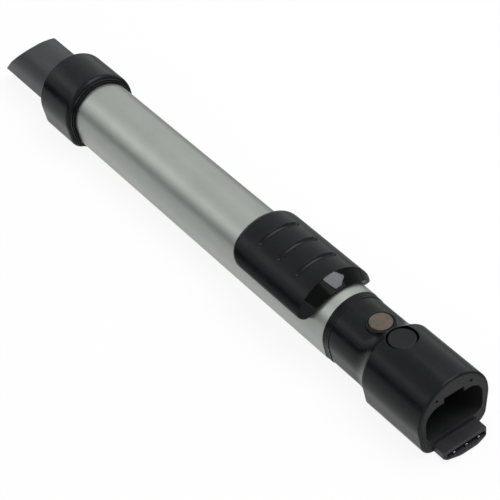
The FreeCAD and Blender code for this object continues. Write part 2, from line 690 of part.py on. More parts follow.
def cut(body, sketch, length, middle=False, back=False):
    feature = body.newObject("PartDesign::Pocket", sketch.Name + "_cut")
    feature.Profile = sketch
    bind(feature, "Length", length)
    feature.Midplane = middle
    feature.Reversed = back
    return feature


def turn(body, kind, sketch, angle):
    """Turn a side-view profile about the wand's axis, half the angle to each side of the top."""
    axis = add_line(sketch, (-10.0, float(s.axis_height)), (0.0, float(s.axis_height)))
    sketch.toggleConstruction(axis)
    fix_point(sketch, axis, 1, -10.0, s.axis_height)
    fix_point(sketch, axis, 2, 0.0, s.axis_height)
    feature = body.newObject(f"PartDesign::{kind}", sketch.Name + "_turn")
    feature.Profile = sketch
    feature.ReferenceAxis = (sketch, ["Axis0"])
    bind(feature, "Angle", angle)
    feature.Midplane = True
    return feature


def on_station(edge, station):
    """Whether an edge lies in the plane across the wand at a station."""
    box = edge.BoundBox
    ends = (box.XMin, box.XMax)
    return all(abs(end - float(station)) < PLANE_TOLERANCE for end in ends)


def on_height(edge, height):
    """Whether an edge lies level at a height."""
    box = edge.BoundBox
    ends = (box.ZMin, box.ZMax)
    return all(abs(end - float(height)) < PLANE_TOLERANCE for end in ends)


def on_arch(edge, radius):
    """Whether an edge lies on a cylinder about the wand's axis."""
    points = edge.discretize(7)
    heights = [point.z - float(s.axis_height) for point in points]
    return all(
        abs(math.hypot(point.y, height) - float(radius)) < ARCH_TOLERANCE
        for point, height in zip(points, heights)
    )


def round_edges(body, radius, wanted):
    """Fillet the edges of the body's last feature that a test picks out."""
    document.recompute()
    base = body.Tip
    names = [f"Edge{number}" for number, edge in enumerate(base.Shape.Edges, 1) if wanted(edge)]
    if not names:
        raise ValueError(f"{body.Label}: no edge to round")
    feature = body.newObject("PartDesign::Fillet", body.Label + "_round")
    feature.Base = (base, names)
    bind(feature, "Radius", radius)
    return feature


def loft(body, stations, kind="AdditiveLoft"):
    """A ruled loft through D sections, given as station, arch radius, depth and corner."""
    sketches = []
    for station, half, depth, corner in stations:
        sketch = cross_section(body, station)
        draw_section(sketch, half, depth, corner)
        sketches.append(sketch)
    feature = body.newObject(f"PartDesign::{kind}", body.Label + "_loft")
    feature.Profile = sketches[0]
    feature.Sections = sketches[1:]
    feature.Ruled = True
    return feature


def full_turn(body, kind, corners, axis_x, axis_y=0.0):
    """Turn a side-view profile a full turn about an upright line."""
    sketch = side_view(body, axis_y)
    draw_polygon(sketch, [(axis_x + reach, height) for reach, height in corners])
    line = add_line(sketch, (float(axis_x), 0.0), (float(axis_x), 10.0))
    sketch.toggleConstruction(line)
    fix_point(sketch, line, 1, axis_x, 0.0)
    fix_point(sketch, line, 2, axis_x, 10.0)
    feature = body.newObject(f"PartDesign::{kind}", sketch.Name + "_turn")
    feature.Profile = sketch
    feature.ReferenceAxis = (sketch, ["Axis0"])
    feature.Angle = 360
    return feature


def shape_part(label, shape):
    """A sub-part whose shape comes from Part's own functions, with sizes from the sheet."""
    feature = document.addObject("Part::Feature", label)
    feature.Label = label
    feature.Shape = shape
    place(feature)
    parts.append(feature)
    return feature


def rod(radius, length, start, direction):
    return Part.makeCylinder(float(radius), float(length), Vector(*map(float, start)), direction)


def coil_spring(radius, wire, length, turns, base, direction):
    """A spring as a chain of short straight pieces of wire, inside its length."""
    wire_radius = float(wire) / 2
    pieces = turns * PIECES_PER_TURN
    rise = (float(length) - float(wire)) / pieces
    points = []
    for piece in range(pieces + 1):
        swing = 2 * math.pi * piece / PIECES_PER_TURN
        for side in range(WIRE_SIDES):
            tilt = 2 * math.pi * side / WIRE_SIDES
            reach = float(radius) + wire_radius * math.cos(tilt)
            height = wire_radius * (1 + math.sin(tilt)) + rise * piece
            points.append((reach * math.cos(swing), reach * math.sin(swing), height))
    facets = []
    for piece in range(pieces):
        for side in range(WIRE_SIDES):
            a = piece * WIRE_SIDES + side
            b = piece * WIRE_SIDES + (side + 1) % WIRE_SIDES
            c, d = a + WIRE_SIDES, b + WIRE_SIDES
            facets += [(a, b, d), (a, d, c)]
    last = pieces * WIRE_SIDES
    for side in range(1, WIRE_SIDES - 1):
        facets.append((0, side + 1, side))
        facets.append((last, last + side, last + side + 1))
    surface = Part.Shape()
    surface.makeShapeFromMesh(([Vector(*point) for point in points], facets), 0.001)
    spring = Part.makeSolid(surface)
    if spring.Volume < 0:
        spring.reverse()
    stand = Placement(Vector(*map(float, base)), Rotation(UP, direction))
    return spring.transformed(stand.toMatrix(), True)


def ball_cut(body, x, y, z, radius):
    """A hollow in the shape of a ball."""
    sketch = side_view(body, y)
    quarter = math.pi / 2
    arc = add_arc(sketch, float(x), float(z), float(radius), -quarter, quarter)
    low, high = float(z) - float(radius), float(z) + float(radius)
    line = add_line(sketch, (float(x), high), (float(x), low))
    constrain(sketch, "Coincident", arc, 2, line, 1)
    constrain(sketch, "Coincident", line, 2, arc, 1)
    constrain(sketch, "Vertical", line)
    constrain(sketch, "Radius", arc, radius)
    fix_point(sketch, arc, 3, x, z)
    axis = add_line(sketch, (float(x), high + 1), (float(x), high + 2))
    sketch.toggleConstruction(axis)
    fix_point(sketch, axis, 1, x, z + radius + 1)
    fix_point(sketch, axis, 2, x, z + radius + 2)
    feature = body.newObject("PartDesign::Groove", sketch.Name + "_ball")
    feature.Profile = sketch
    feature.ReferenceAxis = (sketch, ["Axis0"])
    feature.Angle = 360
    return feature


# Outer tube: an aluminium extrusion with a window for the lock and slots for the slider


def make_outer_tube():
    body = new_body("outer_tube")
    sketch = cross_section(body, s.tube_far)
    draw_ring(sketch, s.tube_half, s.tube_depth, s.tube_corner, s.tube_wall)
    pad(body, sketch, s.tube_near - s.tube_far)
    sketch = top_view(body, s.axis_height)
    window = s.ear_half + s.slot_gap
    draw_rectangle(
        sketch,
        WEDGE_FAR - s.end_room,
        BOLT_NEAR + s.grip_travel + s.end_room,
        -window,
        window,
    )
    slot = s.post_half + s.slot_gap
    for middle in POST_STATIONS:
        draw_rectangle(sketch, middle - slot, middle + slot + s.grip_travel, -slot, slot)
    for side in (-1, 1):
        draw_circle(sketch, RIVET_STATION, s.rivet_side * side, s.rivet_radius)
    cut(body, sketch, s.tube_half, back=True)
    sketch = top_view(body, s.axis_height)
    for station, aside in COLLAR_SCREWS + NECK_SCREWS:
        draw_circle(sketch, station, aside, s.screw_radius)
    cut(body, sketch, s.tube_half)


# Inner tube: a thinner extrusion with pressed notches and a slanting floor-tool end


def make_inner_tube():
    body = new_body("inner_tube")
    sketch = cross_section(body, s.inner_tip)
    draw_ring(sketch, INNER_HALF, INNER_DEPTH, s.inner_corner, s.inner_wall)
    pad(body, sketch, s.inner_near - s.inner_tip)
    # the slanting end runs from the lower lip up to the brow
    sketch = side_view(body)
    draw_rounded(
        sketch,
        [
            (s.inner_tip - s.overrun, INNER_FLOOR, 0),
            (s.inner_tip, INNER_FLOOR, 0),
            (s.inner_brow, INNER_TOP, s.brow_round),
            (s.inner_brow, INNER_TOP + s.overrun, 0),
            (s.inner_tip - s.overrun, INNER_TOP + s.overrun, 0),
        ],
    )
    cut(body, sketch, INNER_HALF * 3, middle=True)
    # the first notch is pressed in: a rounded dish below the wall, then the hollow inside it
    reach = s.bolt_length / 2 + s.notch_gap
    side = s.bolt_half + s.notch_gap
    dish_low = INNER_TOP - s.inner_wall - s.dish_depth
    sketch = top_view(body, dish_low)
    draw_rectangle(
        sketch,
        s.lock_station - reach - s.dish_wall,
        s.lock_station + reach + s.dish_wall,
        -side - s.dish_wall,
        side + s.dish_wall,
    )
    dish = pad(body, sketch, s.dish_depth + s.inner_wall / 2)
    sketch = top_view(body, INNER_TOP + s.fit_gap)
    draw_rectangle(sketch, s.lock_station - reach, s.lock_station + reach, -side, side)
    hollow = cut(body, sketch, s.inner_wall + s.dish_depth + s.fit_gap - s.dish_wall)
    document.recompute()
    pattern = body.newObject("PartDesign::LinearPattern", "inner_tube_notches")
    pattern.Originals = [dish, hollow]
    pattern.Direction = (hollow.Profile[0], ["H_Axis"])
    pattern.Mode = "Spacing"
    pattern.Occurrences = int(s.notch_count)
    pattern.setExpression("Occurrences", s.notch_count.formula)
    bind(pattern, "Offset", s.notch_pitch)
    body.Tip = pattern


# End collar: the black ring that carries the lock and guides the inner tube


def collar_section(share):
    """The collar's section between its full size (share 0) and its lip (share 1)."""
    half = COLLAR_HALF - (s.collar_rise - s.collar_lip) * share
    depth = s.axis_height - (s.axis_height - s.tube_depth - s.collar_lip) * share
    corner = s.collar_corner - (s.collar_corner - s.lip_corner) * share
    return half, depth, corner


def make_end_collar():
    body = new_body("end_collar")
    sketch = cross_section(body, s.collar_far)
    draw_section(sketch, *collar_section(0.0))
    pad(body, sketch, s.collar_taper - s.collar_far)
    round_edges(body, s.collar_round, lambda edge: on_station(edge, s.collar_far))
    # the rounded shoulder, the narrow band, the fine groove and the lip
    groove_near = s.collar_near - s.lip_width
    groove_far = groove_near - s.lip_groove
    band_far = groove_far - s.collar_band
    reach = band_far - s.collar_taper
    stations = []
    for part in SHOULDER_STEPS:
        share = BAND_SHARE * (1 - math.sqrt(1 - part ** 2))
        stations.append((s.collar_taper + reach * part, *collar_section(share)))
    stations.append((groove_far, *collar_section(BAND_END_SHARE)))
    loft(body, stations)
    for station, length, share in (
        (groove_far, s.lip_groove, GROOVE_SHARE),
        (groove_near, s.lip_width, LIP_SHARE),
    ):
        sketch = cross_section(body, station)
        draw_section(sketch, *collar_section(share))
        pad(body, sketch, length)
    # the opening for the inner tube, the bore on the outer tube and the room for the lock
    sketch = cross_section(body, s.collar_far)
    gap = s.sliding_gap
    draw_section(sketch, INNER_HALF + gap, INNER_DEPTH + gap, s.inner_corner + gap)
    cut(body, sketch, s.collar_face + s.overrun, back=True)
    sketch = cross_section(body, s.collar_far + s.collar_face)
    gap = s.fit_gap
    draw_section(sketch, s.tube_half + gap, s.tube_depth + gap, s.tube_corner + gap)
    cut(body, sketch, s.collar_near - s.collar_far, back=True)
    sketch = side_view(body)
    draw_rectangle(
        sketch,
        LATCH_FAR - s.slot_gap,
        LATCH_NEAR + s.slot_gap,
        TUBE_TOP - s.tube_wall,
        s.axis_height + COLLAR_ROOF,
    )
    turn(body, "Groove", sketch, s.lock_angle)
    sketch = top_view(body, 0.0)
    for station, aside in COLLAR_SCREWS:
        draw_circle(sketch, station, aside, s.screw_radius * 2 + s.fit_gap)
    cut(body, sketch, s.screw_sink + s.screw_head + s.fit_gap, back=True)
    sketch = top_view(body, 0.0)
    for station, aside in COLLAR_SCREWS:
        draw_circle(sketch, station, aside, s.screw_radius)
    cut(body, sketch, INNER_FLOOR, back=True)


def make_screws(label, places, head_low, tip):
    """Small pan-head screws driven from below."""
    solids = []
    radius = s.screw_radius
    for station, aside in places:
        base = (station, aside, head_low)
        head = rod(radius * 2, s.screw_head, base, UP)
        shank = rod(radius - s.press_gap, tip - head_low, base, UP)
        width = float(s.screw_slot)
        reach = float(radius * 2 + s.fit_gap)
        corner = Vector(float(station) - width / 2, float(aside) - reach, float(head_low))
        slot = Part.makeBox(width, reach * 2, width, corner)
        solids.append(head.fuse(shank).cut(slot))
    shape_part(label, Part.makeCompound(solids))


# Guide bush: slides the inner tube in the far end of the outer tube


def make_guide_bush():
    body = new_body("guide_bush")
    sketch = cross_section(body, s.tube_far + s.notch_gap)
    outer = s.fit_gap
    draw_section(sketch, BORE_HALF - outer, BORE_DEPTH - outer, BORE_CORNER - outer)
    inner = s.sliding_gap
    draw_section(sketch, INNER_HALF + inner, INNER_DEPTH + inner, s.inner_corner + inner)
    pad(body, sketch, s.bush_length)
    channel(body)
    sketch = top_view(body, 0.0)
    for station, aside in COLLAR_SCREWS:
        draw_circle(sketch, station, aside, s.screw_radius)
    cut(body, sketch, INNER_FLOOR, back=True)


def channel(body):
    """The channel in the crown of a ring that the release strip runs in."""
    sketch = top_view(body, s.axis_height)
    half = s.strip_half + s.slot_gap
    draw_rectangle(sketch, s.tube_far - s.overrun, s.tube_near + s.overrun, -half, half)
    cut(body, sketch, s.tube_half * 2, back=True)


def make_rear_ring(label, near, length, reach):
    """A ring on the back end of the inner tube that runs in the outer tube's bore."""
    body = new_body(label)
    sketch = cross_section(body, near - length)
    draw_section(sketch, BORE_HALF - reach, BORE_DEPTH - reach, BORE_CORNER - reach)
    gap = s.press_gap
    draw_section(sketch, INNER_HALF + gap, INNER_DEPTH + gap, s.inner_corner + gap)
    pad(body, sketch, length)
    channel(body)


def make_wiper_seal():
    body = new_body("wiper_seal")
    far = s.collar_far + s.collar_face + s.fit_gap
    sketch = cross_section(body, far)
    outer = s.slot_gap
    draw_section(sketch, s.tube_half - outer, s.tube_depth - outer, s.tube_corner - outer)
    inner = s.wiper_gap
    draw_section(sketch, INNER_HALF + inner, INNER_DEPTH + inner, s.inner_corner + inner)
    pad(body, sketch, s.tube_far - s.fit_gap - far)


# Lock: a bolt that drops into the notches, in a frame under the collar's roof


def make_latch_housing():
    body = new_body("latch_housing")
    sketch = cross_section(body, LATCH_FAR)
    half = s.ear_half + s.latch_wall
    draw_rectangle(sketch, -half, half, TUBE_TOP - s.overrun, s.axis_height + COLLAR_HALF)
    pad(body, sketch, LATCH_NEAR - LATCH_FAR)
    sketch = side_view(body)
    far, near = LATCH_FAR - s.overrun, LATCH_NEAR + s.overrun
    roof = s.axis_height + COLLAR_ROOF - s.fit_gap
    draw_rectangle(sketch, far, near, roof, roof + s.overrun)
    turn(body, "Groove", sketch, s.latch_angle)
    sketch = side_view(body)
    draw_rectangle(sketch, far, near, s.axis_height + INNER_HALF / 2, TUBE_TOP + s.press_gap)
    turn(body, "Groove", sketch, s.latch_angle)
    # the well for the bolt's ears and the wedge, with two cheeks that guide the stem
    inside = s.ear_half + s.sliding_gap
    cheek = s.bolt_half - s.fit_gap
    for left, right in ((-inside, -cheek), (cheek, inside)):
        sketch = top_view(body, s.axis_height)
        well_far, well_near = WEDGE_FAR - s.end_room, BOLT_NEAR + s.grip_travel + s.end_room
        draw_rectangle(sketch, well_far, well_near, left, right)
        cut(body, sketch, COLLAR_HALF, back=True)
    sketch = top_view(body, s.axis_height)
    guide = s.sliding_gap
    draw_rectangle(sketch, BOLT_FAR - guide, BOLT_NEAR + guide, -inside, inside)
    cut(body, sketch, COLLAR_HALF, back=True)


def make_lock_bolt():
    body = new_body("lock_bolt")
    low = INNER_TOP - s.bolt_dip
    bevel = s.bolt_bevel
    sketch = side_view(body)
    draw_polygon(
        sketch,
        [
            (BOLT_FAR, low + bevel),
            (BOLT_FAR + bevel, low),
            (BOLT_NEAR - bevel, low),
            (BOLT_NEAR, low + bevel),
            (BOLT_NEAR, BOLT_TOP),
            (BOLT_FAR, BOLT_TOP),
        ],
    )
    pad(body, sketch, s.bolt_half * 2, middle=True)
    # the ears, with the slope of the wedge below
    sketch = side_view(body)
    ear_low = STRIP_HIGH + s.fit_gap
    draw_polygon(
        sketch,
        [
            (BOLT_FAR, ear_low + s.bolt_length * s.wedge_slope),
            (BOLT_NEAR, ear_low),
            (BOLT_NEAR, BOLT_TOP),
            (BOLT_FAR, BOLT_TOP),
        ],
    )
    pad(body, sketch, s.ear_half * 2, middle=True)
    # the blind hole for the spring
    sketch = top_view(body, BOLT_TOP)
    draw_circle(sketch, s.lock_station, 0.0, s.lock_coil + s.coil_wire)
    cut(body, sketch, s.lock_well)


def make_lock_spring():
    low = BOLT_TOP - s.lock_well + s.press_gap
    length = s.axis_height + COLLAR_ROOF - s.fit_gap - low
    base = (s.lock_station, 0.0, low)
    spring = coil_spring(s.lock_coil, s.coil_wire, length, LOCK_TURNS, base, UP)
    shape_part("lock_spring", spring)


# Release strip: carries the slider's movement to the lock under the roof of the outer tube


def make_release_strip():
    body = new_body("release_strip")
    sketch = top_view(body, STRIP_LOW)
    draw_rectangle(sketch, WEDGE_FAR, SHOE_NEAR, -s.strip_half, s.strip_half)
    pad(body, sketch, s.strip_thick)
    # the wedges that lift the bolt by its ears
    sketch = side_view(body)
    root = STRIP_HIGH - s.strip_thick / 5
    draw_polygon(
        sketch,
        [
            (WEDGE_FAR, root),
            (BOLT_NEAR, root),
            (BOLT_NEAR, STRIP_HIGH),
            (WEDGE_FAR, STRIP_HIGH + WEDGE_REACH * s.wedge_slope),
        ],
    )
    pad(body, sketch, s.strip_half * 2, middle=True)
    sketch = top_view(body, STRIP_LOW)
    fork = s.bolt_half + s.sliding_gap
    draw_rectangle(sketch, WEDGE_FAR - s.overrun, BOLT_NEAR + s.notch_gap, -fork, fork)
    cut(body, sketch, s.tube_half, back=True)
    sketch = top_view(body, STRIP_LOW)
    for station in STRIP_RIVETS:
        draw_circle(sketch, station, 0.0, s.strip_rivet)
    cut(body, sketch, s.tube_half, back=True)


def make_slider_shoe():
    """A plate on the strip with two posts that rise through the tube into the grip."""
    body = new_body("slider_shoe")
    sketch = top_view(body, STRIP_HIGH)
    draw_rectangle(sketch, SHOE_FAR, SHOE_NEAR, -s.strip_half, s.strip_half)
    pad(body, sketch, s.shoe_thick)
    sketch = top_view(body, STRIP_HIGH)
    half = s.post_half
    for middle in POST_STATIONS:
        draw_rectangle(sketch, middle - half, middle + half, -half, half)
    pad(body, sketch, s.axis_height + GRIP_BORE - STRIP_HIGH - s.fit_gap)
    sketch = top_view(body, STRIP_HIGH)
    for station in STRIP_RIVETS:
        draw_circle(sketch, station, 0.0, s.strip_rivet)
    cut(body, sketch, s.tube_half, back=True)


def make_strip_rivets():
    solids = []
    for station in STRIP_RIVETS:
        shank = rod(s.strip_rivet, SHOE_TOP - STRIP_LOW, (station, 0.0, STRIP_LOW), UP)
        radius, height = s.strip_rivet * RIVET_HEAD, s.strip_rivet * RIVET_HEAD_HEIGHT
        head = rod(radius, height, (station, 0.0, SHOE_TOP), UP)
        solids.append(shank.fuse(head))
    shape_part("strip_rivets", Part.makeCompound(solids))


# Slider grip: the saddle that is pulled back to free the lock


def grip_outline():
    """The grip seen from the side: x, height and radius of its corners."""
    high = GRIP_TOP + s.overrun * 2
    return [
        (s.grip_far, GRIP_HEM, s.grip_far_corner),
        (s.grip_near - s.grip_sweep, GRIP_HEM, s.grip_near_corner),
        (s.grip_near - s.grip_waist, s.axis_height + GRIP_HALF / 2, GRIP_HALF / 2),
        (s.grip_near + s.grip_sweep, high, 0),
        (s.grip_far, high, 0),
    ]


def trim_to_outline(body):
    """Cut away what lies outside the grip's side outline."""
    sketch = side_view(body)
    draw_rounded(sketch, grip_outline())
    far, near = s.grip_far - s.overrun, s.grip_near + s.overrun * 3
    draw_rectangle(sketch, far, near, s.axis_height, GRIP_TOP + s.overrun * 3)
    cut(body, sketch, GRIP_HALF * 3, middle=True)


def make_slider_grip():
    body = new_body("slider_grip")
    sketch = side_view(body)
    draw_rectangle(sketch, s.grip_far, s.grip_near + s.overrun, GRIP_FLOOR, GRIP_TOP)
    turn(body, "Revolution", sketch, s.grip_angle)
    trim_to_outline(body)
    round_edges(body, s.grip_round, lambda edge: on_arch(edge, GRIP_HALF))
    # the sloping front
    sketch = side_view(body)
    high = GRIP_TOP + s.overrun
    draw_polygon(
        sketch,
        [
            (FRONT_FAR, GRIP_TOP),
            (s.grip_near, FRONT_FOOT),
            (s.grip_near + s.overrun * 3, FRONT_FOOT),
            (s.grip_near + s.overrun * 3, high),
            (FRONT_FAR, high),
        ],
    )
    turn(body, "Groove", sketch, s.grip_angle + TURN_OVERRUN)
    # the hollow over the springs and the posts
    sketch = side_view(body)
    far, near = s.grip_far + s.overrun, FRONT_FAR - s.front_foot
    draw_rectangle(sketch, far, near, GRIP_FLOOR - s.overrun, s.axis_height + GRIP_BORE)
    turn(body, "Groove", sketch, s.hollow_angle)
    # the rib that the springs push on, and the sockets of the posts
    sketch = side_view(body)
    low, high = GRIP_FLOOR + s.fit_gap, s.axis_height + GRIP_BORE + s.fit_gap
    draw_rectangle(sketch, s.rib_station - s.rib_thick, s.rib_station, low, high)
    turn(body, "Revolution", sketch, s.rib_angle)
    sketch = top_view(body, GRIP_FLOOR + s.fit_gap)
    seat = s.post_half + s.fit_gap
    reach = seat + s.anchor_wall
    for middle in POST_STATIONS:
        draw_rectangle(sketch, middle - reach, middle + reach, -reach, reach)
    pad(body, sketch, s.axis_height + GRIP_BORE - GRIP_FLOOR)
    sketch = top_view(body, GRIP_FLOOR - s.overrun)
    for middle in POST_STATIONS:
        draw_rectangle(sketch, middle - seat, middle + seat, -seat, seat)
    cut(body, sketch, s.axis_height + GRIP_BORE - GRIP_FLOOR + s.overrun, back=True)
    cut_grooves(body)
    # the seat of the black front
    sketch = side_view(body)
    draw_front(sketch, 0.0)
    turn(body, "Groove", sketch, s.front_angle + s.front_play)


def cut_grooves(body):
    """Finger grooves across the crown, with round ends."""
    middle = GRIP_TOP + s.groove_rise
    sketch = side_view(body)
    draw_circle(sketch, s.groove_first, middle, s.groove_radius)
    originals = [turn(body, "Groove", sketch, s.groove_angle)]
    swing = math.radians(s.groove_angle / 2)
    reach = GRIP_HALF + s.groove_rise
    for side in (-1, 1):
        aside = reach * (side * math.sin(swing))
        height = s.axis_height + reach * math.cos(swing)
        originals.append(ball_cut(body, s.groove_first, aside, height, s.groove_radius))
    document.recompute()
    pattern = body.newObject("PartDesign::LinearPattern", "grip_grooves")
    pattern.Originals = originals
    pattern.Direction = (sketch, ["H_Axis"])
    pattern.Mode = "Spacing"
    pattern.Occurrences = int(s.groove_count)
    pattern.setExpression("Occurrences", s.groove_count.formula)
    bind(pattern, "Offset", s.groove_pitch)
    body.Tip = pattern


def front_point(share, depth):
    """A point on the grip's sloping front, and so far below its surface."""
    rise = GRIP_TOP - FRONT_FOOT
    length = math.hypot(float(rise), float(s.grip_front))
    x = FRONT_FAR + s.grip_front * share - rise * (float(depth) / length)
    z = GRIP_TOP - rise * share - s.grip_front * (float(depth) / length)
    return (x, z)


def draw_front(sketch, gap):
    """The side view of the black front, a plate let into the sloping front of the grip."""
    deep = s.front_thick - gap
    start = FRONT_START + gap / FRONT_RUN
    proud = -s.overrun if gap == 0 else s.front_thick * FRONT_PROUD
    draw_polygon(
        sketch,
        [
            front_point(start, deep),
            front_point(FRONT_END, deep),
            front_point(FRONT_END, proud),
            front_point(start, proud),
        ],
    )


def make_grip_front():
    body = new_body("grip_front")
    sketch = side_view(body)
    draw_front(sketch, FRONT_GAP)
    turn(body, "Revolution", sketch, s.front_angle)
    trim_to_outline(body)


def make_grip_arrow():
    """A raised shield whose point shows the way to pull."""
    body = new_body("grip_arrow")
    sketch = side_view(body)
    low = -s.front_thick * ARROW_PROUD
    high = low - s.arrow_thick
    draw_polygon(
        sketch,
        [
            front_point(0.0, low),
            front_point(1.0, low),
            front_point(1.0, high),
            front_point(0.0, high),
        ],
    )
    turn(body, "Revolution", sketch, s.arrow_angle)
    sketch = top_view(body, s.axis_height)
    draw_rounded(sketch, [(x + s.grip_near, y, radius) for x, y, radius in ARROW])
    wide = GRIP_HALF
    draw_rectangle(sketch, FRONT_FAR - s.overrun, s.grip_near + s.overrun, -wide, wide)
    cut(body, sketch, GRIP_HALF * 2, back=True)


# the arrow's corners seen from above: behind the grip's near end, beside the middle, radius
ARROW = [
    (-11.6, -8.6, 0.8),
    (-1.5, -4.8, 0.8),
    (-1.4, 0.4, 0.8),
    (-6.6, 7.2, 0.8),
    (-11.8, 2.4, 1.5),
]


# Return springs of the slider, between the anchor on the tube and the rib in the grip


def make_spring_anchor():
    body = new_body("spring_anchor")
    sketch = side_view(body)
    low = TUBE_TOP + s.press_gap
    foot = low + s.anchor_wall * ANCHOR_FOOT
    high = s.axis_height + GRIP_BORE - s.sliding_gap * 2
    draw_polygon(
        sketch,
        [
            (ANCHOR_FAR, low),
            (ANCHOR_NEAR, low),
            (ANCHOR_NEAR, foot),
            (ANCHOR_FAR + s.anchor_wall, foot),
            (ANCHOR_FAR + s.anchor_wall, high),
            (ANCHOR_FAR, high),
        ],
    )
    turn(body, "Revolution", sketch, s.anchor_angle)
    sketch = top_view(body, s.axis_height)
    for side in (-1, 1):
        draw_circle(sketch, RIVET_STATION, s.rivet_side * side, s.rivet_radius)
    cut(body, sketch, s.tube_half * 2, back=True)


def make_anchor_rivets():
    low = TUBE_TOP - s.tube_wall - s.rivet_radius / 2
    high = TUBE_TOP + s.rivet_radius * ANCHOR_RIVET_RISE
    radius = s.rivet_radius - s.press_gap / 2
    solids = [
        rod(radius, high - low, (RIVET_STATION, s.rivet_side * side, low), UP) for side in (-1, 1)
    ]
    shape_part("anchor_rivets", Part.makeCompound(solids))


def make_grip_springs():
    start = s.rib_station + s.press_gap
    length = ANCHOR_FAR - s.press_gap - start
    springs = [
        coil_spring(
            s.coil_radius,
            s.coil_wire,
            length,
            GRIP_TURNS,
            (start, s.coil_side * side, COIL_HEIGHT),
            ALONG,
        )
        for side in (-1, 1)
    ]
    shape_part("grip_springs", Part.makeCompound(springs))


# Handle socket: the black moulding with the neck, the wells of the two buttons and the mouth


def flare_section(share):
    """The socket's section between the neck (share 0) and the socket itself (share 1)."""
    return (
        NECK_HALF + (s.socket_half - NECK_HALF) * share,
        NECK_DEPTH + (s.axis_height - NECK_DEPTH) * share,
        NECK_CORNER + (s.socket_corner - NECK_CORNER) * share,
    )


def make_socket_housing():
    body = new_body("socket_housing")
    make_socket_outside(body)
    # the cavity for the liner, the airway and the duct for the lead
    sketch = cross_section(body, 0.0)
    wall = s.socket_wall
    draw_section(sketch, SOCKET_BORE, s.axis_height - wall, s.socket_corner - wall)
    cut(body, sketch, s.opening_depth + s.liner_wall)
    through = s.spigot_length - s.tube_near + s.overrun
    sketch = cross_section(body, 0.0)
    bends = (s.airway_low_bend, s.airway_high_bend)
    draw_slab(sketch, AIRWAY_HALF, AIRWAY_LOW, AIRWAY_TOP, *bends)
    cut(body, sketch, through)
    sketch = cross_section(body, 0.0)
    draw_rectangle(sketch, -s.duct_half, s.duct_half, DUCT_LOW, DUCT_LOW + s.duct_height)
    cut(body, sketch, through)
    cut_button_wells(body)
    # the passage for the handle catch and the seat of the release spring
    sketch = cross_section(body, s.release_station)
    half = s.catch_half + s.slot_gap
    swing = s.catch_pin_radius * 2
    draw_rectangle(sketch, -half, half, CATCH_Z - swing, CATCH_Z + swing)
    cut(body, sketch, s.opening_depth, back=True)
    sketch = top_view(body, RELEASE_FLOOR)
    draw_circle(sketch, s.release_station, 0.0, s.release_coil + s.end_room)
    cut(body, sketch, s.release_seat)
    # screw holes and the groove of the seal
    sketch = top_view(body, 0.0)
    for station, aside in NECK_SCREWS:
        draw_circle(sketch, station, aside, s.screw_radius)
    cut(body, sketch, AIRWAY_LOW, back=True)
    sketch = cross_section(body, s.tube_near - s.seal_groove)
    deep = s.seal_depth
    draw_section(sketch, s.tube_half, s.tube_depth, s.tube_corner)
    draw_section(sketch, BORE_HALF - deep, BORE_DEPTH - deep, BORE_CORNER - deep)
    cut(body, sketch, s.seal_width)


def make_socket_outside(body):
    """The spigot, the ring with its fine grooves, the neck, the flare and the socket."""
    gap = s.fit_gap
    sketch = cross_section(body, s.tube_near - s.spigot_length)
    draw_section(sketch, BORE_HALF - gap, BORE_DEPTH - gap, BORE_CORNER - gap)
    pad(body, sketch, s.spigot_length + s.neck_ring_length / 2)
    sketch = cross_section(body, s.tube_near)
    draw_section(sketch, NECK_HALF, NECK_DEPTH, NECK_CORNER)
    pad(body, sketch, NECK_NEAR - s.tube_near)
    ring = s.neck_ring
    ring_near = s.tube_near + s.neck_ring_length
    station = s.tube_near
    while float(station) < float(ring_near) - float(s.neck_line):
        sketch = cross_section(body, station)
        draw_section(sketch, NECK_HALF + ring, NECK_DEPTH + ring, NECK_CORNER + ring)
        pad(body, sketch, s.neck_line_pitch - s.neck_line)
        station = station + s.neck_line_pitch
    # the flare swells slowly, then fast
    stations = []
    for step in range(FLARE_STEPS + 1):
        part = step / FLARE_STEPS
        stations.append((NECK_NEAR + s.flare_length * part, *flare_section(part ** FLARE_POWER)))
    loft(body, stations)
    sketch = cross_section(body, -s.socket_length)
    draw_section(sketch, s.socket_half, s.axis_height, s.socket_corner)
    pad(body, sketch, s.socket_length)
    round_edges(body, s.mouth_round, lambda edge: on_station(edge, 0.0))
    # the raised ring around the brush switch
    inside = s.switch_radius + s.notch_gap
    outside = inside + s.ring_width
    high = SWITCH_TOP - s.ring_drop
    bevel = s.switch_rim
    profile = [
        (inside, SWITCH_SEAT),
        (outside, SWITCH_SEAT),
        (outside, high - bevel),
        (outside - bevel, high),
        (inside, high),
    ]
    full_turn(body, "Revolution", profile, s.switch_station)


def cut_button_wells(body):
    """The wells of the release button and of the brush switch."""
    crown = s.axis_height + s.socket_half
    sketch = top_view(body, crown)
    draw_circle(sketch, s.release_station, 0.0, s.release_radius + s.release_gap)
    cut(body, sketch, crown - RELEASE_FLOOR)
    sketch = top_view(body, crown)
    draw_circle(sketch, s.switch_station, 0.0, s.switch_radius + s.notch_gap)
    cut(body, sketch, crown - SWITCH_SEAT)
    sketch = top_view(body, crown)
    long_half = s.switch_half + s.fit_gap
    side_half = s.switch_side + s.fit_gap
    far, near = s.switch_station - long_half, s.switch_station + long_half
    draw_rectangle(sketch, far, near, -side_half, side_half)
    cut(body, sketch, crown - SWITCH_FLOOR)


def make_neck_seal():
    body = new_body("neck_seal")
    length = s.seal_width - s.fit_gap * 2
    sketch = cross_section(body, s.tube_near - s.seal_groove - s.fit_gap - length)
    outer = s.press_gap / 2
    inner = s.seal_depth - s.press_gap
    draw_section(sketch, BORE_HALF - outer, BORE_DEPTH - outer, BORE_CORNER - outer)
    draw_section(sketch, BORE_HALF - inner, BORE_DEPTH - inner, BORE_CORNER - inner)
    pad(body, sketch, length)


# Liner of the socket: the sleeve that takes the hose handle, with the end face of the mouth


